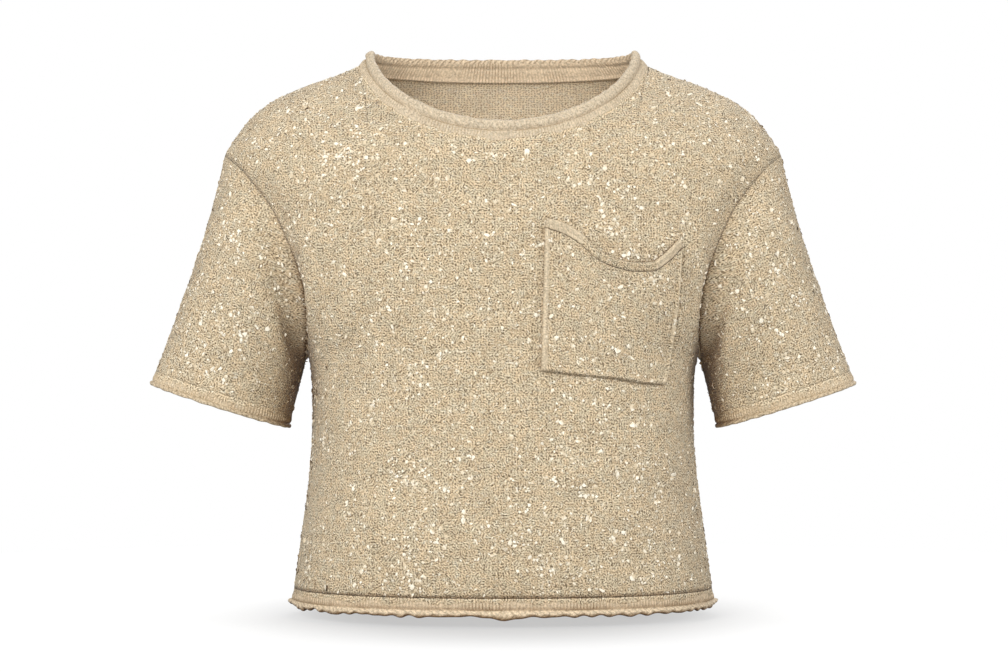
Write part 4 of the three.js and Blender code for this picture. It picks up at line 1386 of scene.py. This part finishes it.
# The dark furrow colours are painted shade between the ribs.
FURROW_SHADE = (0.34, 0.24, 0.13)
BROWN_YARN = (0.66, 0.515, 0.35)
BROWN_FURROW_SHADE = (0.32, 0.21, 0.12)
neck_yarn = band_material("neck_yarn", YARN, FURROW_SHADE, 0.0096, 0.0262, 0.35, 1.0, 0.3, 0.01, 0.8)
neck_back_yarn = band_material("neck_back_yarn", BROWN_YARN, BROWN_FURROW_SHADE, 0.0096, 0.0262, 0.8, 1.2, 0.15, 0.004, 0.9)
hem_yarn = band_material("hem_yarn", (0.84, 0.68, 0.48), (0.3, 0.2, 0.1), 0.0098, 0.0208, 0.5, 1.2, 0.22, 0.014, 0.8)
cuff_yarn = band_material("cuff_yarn", (0.66, 0.52, 0.35), (0.28, 0.19, 0.09), 0.0092, 0.0185, 0.6, 1.2, 0.45, 0.014, 0.8)
smooth_yarn = band_material("smooth_yarn", (0.68, 0.56, 0.39), (0.34, 0.24, 0.13), -1.0, 1.0, 0.0, 0.0, 0.35, -1.0, 0.5)
sequin = sequin_material("sequin", ((0.74, 0.61, 0.42), (1.0, 0.93, 0.78)), 0.6)
slub_yarn = sequin_material("slub_yarn", ((0.7, 0.56, 0.37), (0.95, 0.84, 0.65)), 0.7)

front = body_panel("front_cloth", FRONT, FRONT_CREASES, 1, (knit, knit_in))
back = body_panel("back_cloth", BACK, BACK_CREASES, 2, (knit, knit_in))
sleeve_left = sleeve("sleeve_left_cloth", 1, 3, (knit, knit_in))
sleeve_right = sleeve("sleeve_right_cloth", -1, 4, (knit, knit_in))
bag = pocket_bag("pocket_cloth", (knit, knit_in, smooth_yarn))
bag_band = pocket_band("pocket_edge", (smooth_yarn, knit))
neck = neck_band("neck_ribbing", (neck_yarn, neck_back_yarn))
hem = hem_band("hem_ribbing", hem_yarn)
cuff_left = cuff_band("cuff_left_ribbing", 1, 31, cuff_yarn)
cuff_right = cuff_band("cuff_right_ribbing", -1, 41, cuff_yarn)

# The cloth, its sequins, its dense spots and its yarn loops
trims = {
    "front": (front, 3000, DENSE_SPOTS["front"], 2300),
    "back": (back, 3000, DENSE_SPOTS["back"], 2300),
    "sleeve_left": (sleeve_left, 900, DENSE_SPOTS["sleeve_left"], 700),
    "sleeve_right": (sleeve_right, 900, DENSE_SPOTS["sleeve_right"], 700),
    "pocket": (bag, 170, [], 150),
}
glints = {}
loops = {}
for i, (name, (face, count, spots, loop_count)) in enumerate(trims.items()):
    glints[name] = sequins(f"{name}_sequins", face, count, spots, 50 + i, sequin)
    loops[name] = slubs(f"{name}_slubs", face, loop_count, [], 70 + i, slub_yarn)

# Floor, lights and camera
LENS = 111.2
CAMERA_PLACE = (0.0008, -2.6, -0.237)
FLOOR_Z = -0.4695
FLOOR_RADIUS = 0.9
# The floor's glow for the camera is dimmed round the middle as a painted shadow, between these radii, from the first
# glow to the second.
FLOOR_PAINTED_SHADOW_RADII = (0.13, 0.33)
FLOOR_GLOW = (0.53, 0.84)


def pale_floor():
    """A round white floor. It glows a little for the camera, so the shadow on it stays light, and its glow is dimmed
    round the middle as a painted shadow under the piece.
    """
    bpy.ops.mesh.primitive_circle_add(vertices=96, radius=FLOOR_RADIUS, fill_type="NGON", location=(0, 0, FLOOR_Z))
    floor = bpy.context.active_object
    floor.name = "floor"
    bpy.ops.object.transform_apply(location=True)
    white = bpy.data.materials.new("floor_white")
    white.use_nodes = True
    tree = white.node_tree
    matt = tree.nodes["Principled BSDF"]
    matt.inputs["Base Color"].default_value = (0.25, 0.25, 0.25, 1)
    matt.inputs["Roughness"].default_value = 0.95
    matt.inputs["Specular IOR Level"].default_value = 0.0
    lit = add_node(tree, "ShaderNodeBsdfDiffuse", values={0: (0.2, 0.2, 0.2, 1)})
    where = add_node(tree, "ShaderNodeTexCoord")
    squeezed = add_node(
        tree, "ShaderNodeVectorMath", [(0, where.outputs["Object"])], operation="MULTIPLY", values={1: (1.28, 1, 0)}
    )
    away = add_node(tree, "ShaderNodeVectorMath", [(0, squeezed.outputs[0])], operation="LENGTH")
    # Painted shadow: the glow is weakest round the middle, where the piece stands, and rises outwards.
    strength = spread(tree, away.outputs["Value"], FLOOR_PAINTED_SHADOW_RADII[0], FLOOR_PAINTED_SHADOW_RADII[1], FLOOR_GLOW[0], FLOOR_GLOW[1])
    glow = add_node(tree, "ShaderNodeEmission", [(1, strength)], values={0: (1, 1, 1, 1)})
    bright = add_node(tree, "ShaderNodeAddShader", [(0, lit.outputs[0]), (1, glow.outputs[0])])
    path = add_node(tree, "ShaderNodeLightPath")
    mix = add_node(tree, "ShaderNodeMixShader", [(0, path.outputs["Is Camera Ray"])])
    tree.links.new(matt.outputs[0], mix.inputs[1])
    tree.links.new(bright.outputs[0], mix.inputs[2])
    tree.links.new(mix.outputs[0], tree.nodes["Material Output"].inputs[0])
    floor.data.materials.append(white)
    return floor


def studio_world(light):
    """An even white studio. The camera sees it white, and it lights the piece by the given amount."""
    world = bpy.data.worlds.new("studio")
    bpy.context.scene.world = world
    world.use_nodes = True
    tree = world.node_tree
    lit = tree.nodes["Background"]
    lit.inputs[0].default_value = (1, 1, 1, 1)
    lit.inputs[1].default_value = light
    seen = add_node(tree, "ShaderNodeBackground", values={0: (1, 1, 1, 1), 1: 1.0})
    path = add_node(tree, "ShaderNodeLightPath")
    mix = add_node(tree, "ShaderNodeMixShader", [(0, path.outputs["Is Camera Ray"])])
    tree.links.new(lit.outputs[0], mix.inputs[1])
    tree.links.new(seen.outputs[0], mix.inputs[2])
    tree.links.new(mix.outputs[0], tree.nodes["World Output"].inputs[0])


def soft_light(name, place, aim, size, power):
    """A square soft light at a place, turned to its aim."""
    bpy.ops.object.light_add(type="AREA", location=place)
    light = bpy.context.active_object
    light.name = name
    light.data.shape = "SQUARE"
    light.data.size = size
    light.data.energy = power
    way = np.array(aim) - np.array(place)
    flat = math.hypot(way[0], way[1])
    light.rotation_euler = (math.atan2(flat, -way[2]), 0, math.atan2(way[1], way[0]) - math.pi / 2)
    return light


# Each light's name, place, what it aims at, size and power
LIGHTS = [
    ("overhead_light", (0, 0.75, 2.0), (0, 0, -0.3), 1.8, 17),
    ("left_front_light", (-1.8, -2.6, 1.3), (0, 0, -0.25), 1.6, 60),
    ("right_front_light", (1.8, -2.6, 1.3), (0, 0, -0.25), 1.6, 13),
    ("front_light", (0, -3.4, 0.2), (0, 0, -0.25), 2.0, 62),
    ("left_light", (-2.6, -0.6, 0.5), (0, 0, -0.25), 1.6, 18),
    ("right_light", (2.6, -0.6, 0.5), (0, 0, -0.25), 1.6, 34),
    ("rear_light", (0.6, 2.9, 1.2), (0, 0, -0.25), 2.0, 44),
]
pale_floor()
for name, place, aim, size, power in LIGHTS:
    soft_light(name, place, aim, size, power)
studio_world(0.1)

bpy.ops.object.camera_add(location=CAMERA_PLACE, rotation=(math.pi / 2, 0, 0))
camera = bpy.context.active_object
camera.data.lens = LENS
camera.data.sensor_width = 36
bpy.context.scene.camera = camera
bpy.context.scene.view_settings.view_transform = "Standard"

# Each piece rides on the part's one body and stands for its solid
dressed = {
    "front": (front[0], "knit"),
    "back": (back[0], "knit"),
    "sleeve_left": (sleeve_left[0], "knit"),
    "sleeve_right": (sleeve_right[0], "knit"),
    "pocket": (bag[0], "knit"),
    "pocket_band": (bag_band, "rib"),
    "neckband": (neck, "rib"),
    "hem_band": (hem, "rib"),
    "cuff_left": (cuff_left, "rib"),
    "cuff_right": (cuff_right, "rib"),
}
for node, (piece, slot) in dressed.items():
    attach(piece, "root")
    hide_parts(node)
for piece in [*glints.values(), *loops.values()]:
    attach(piece, "root")
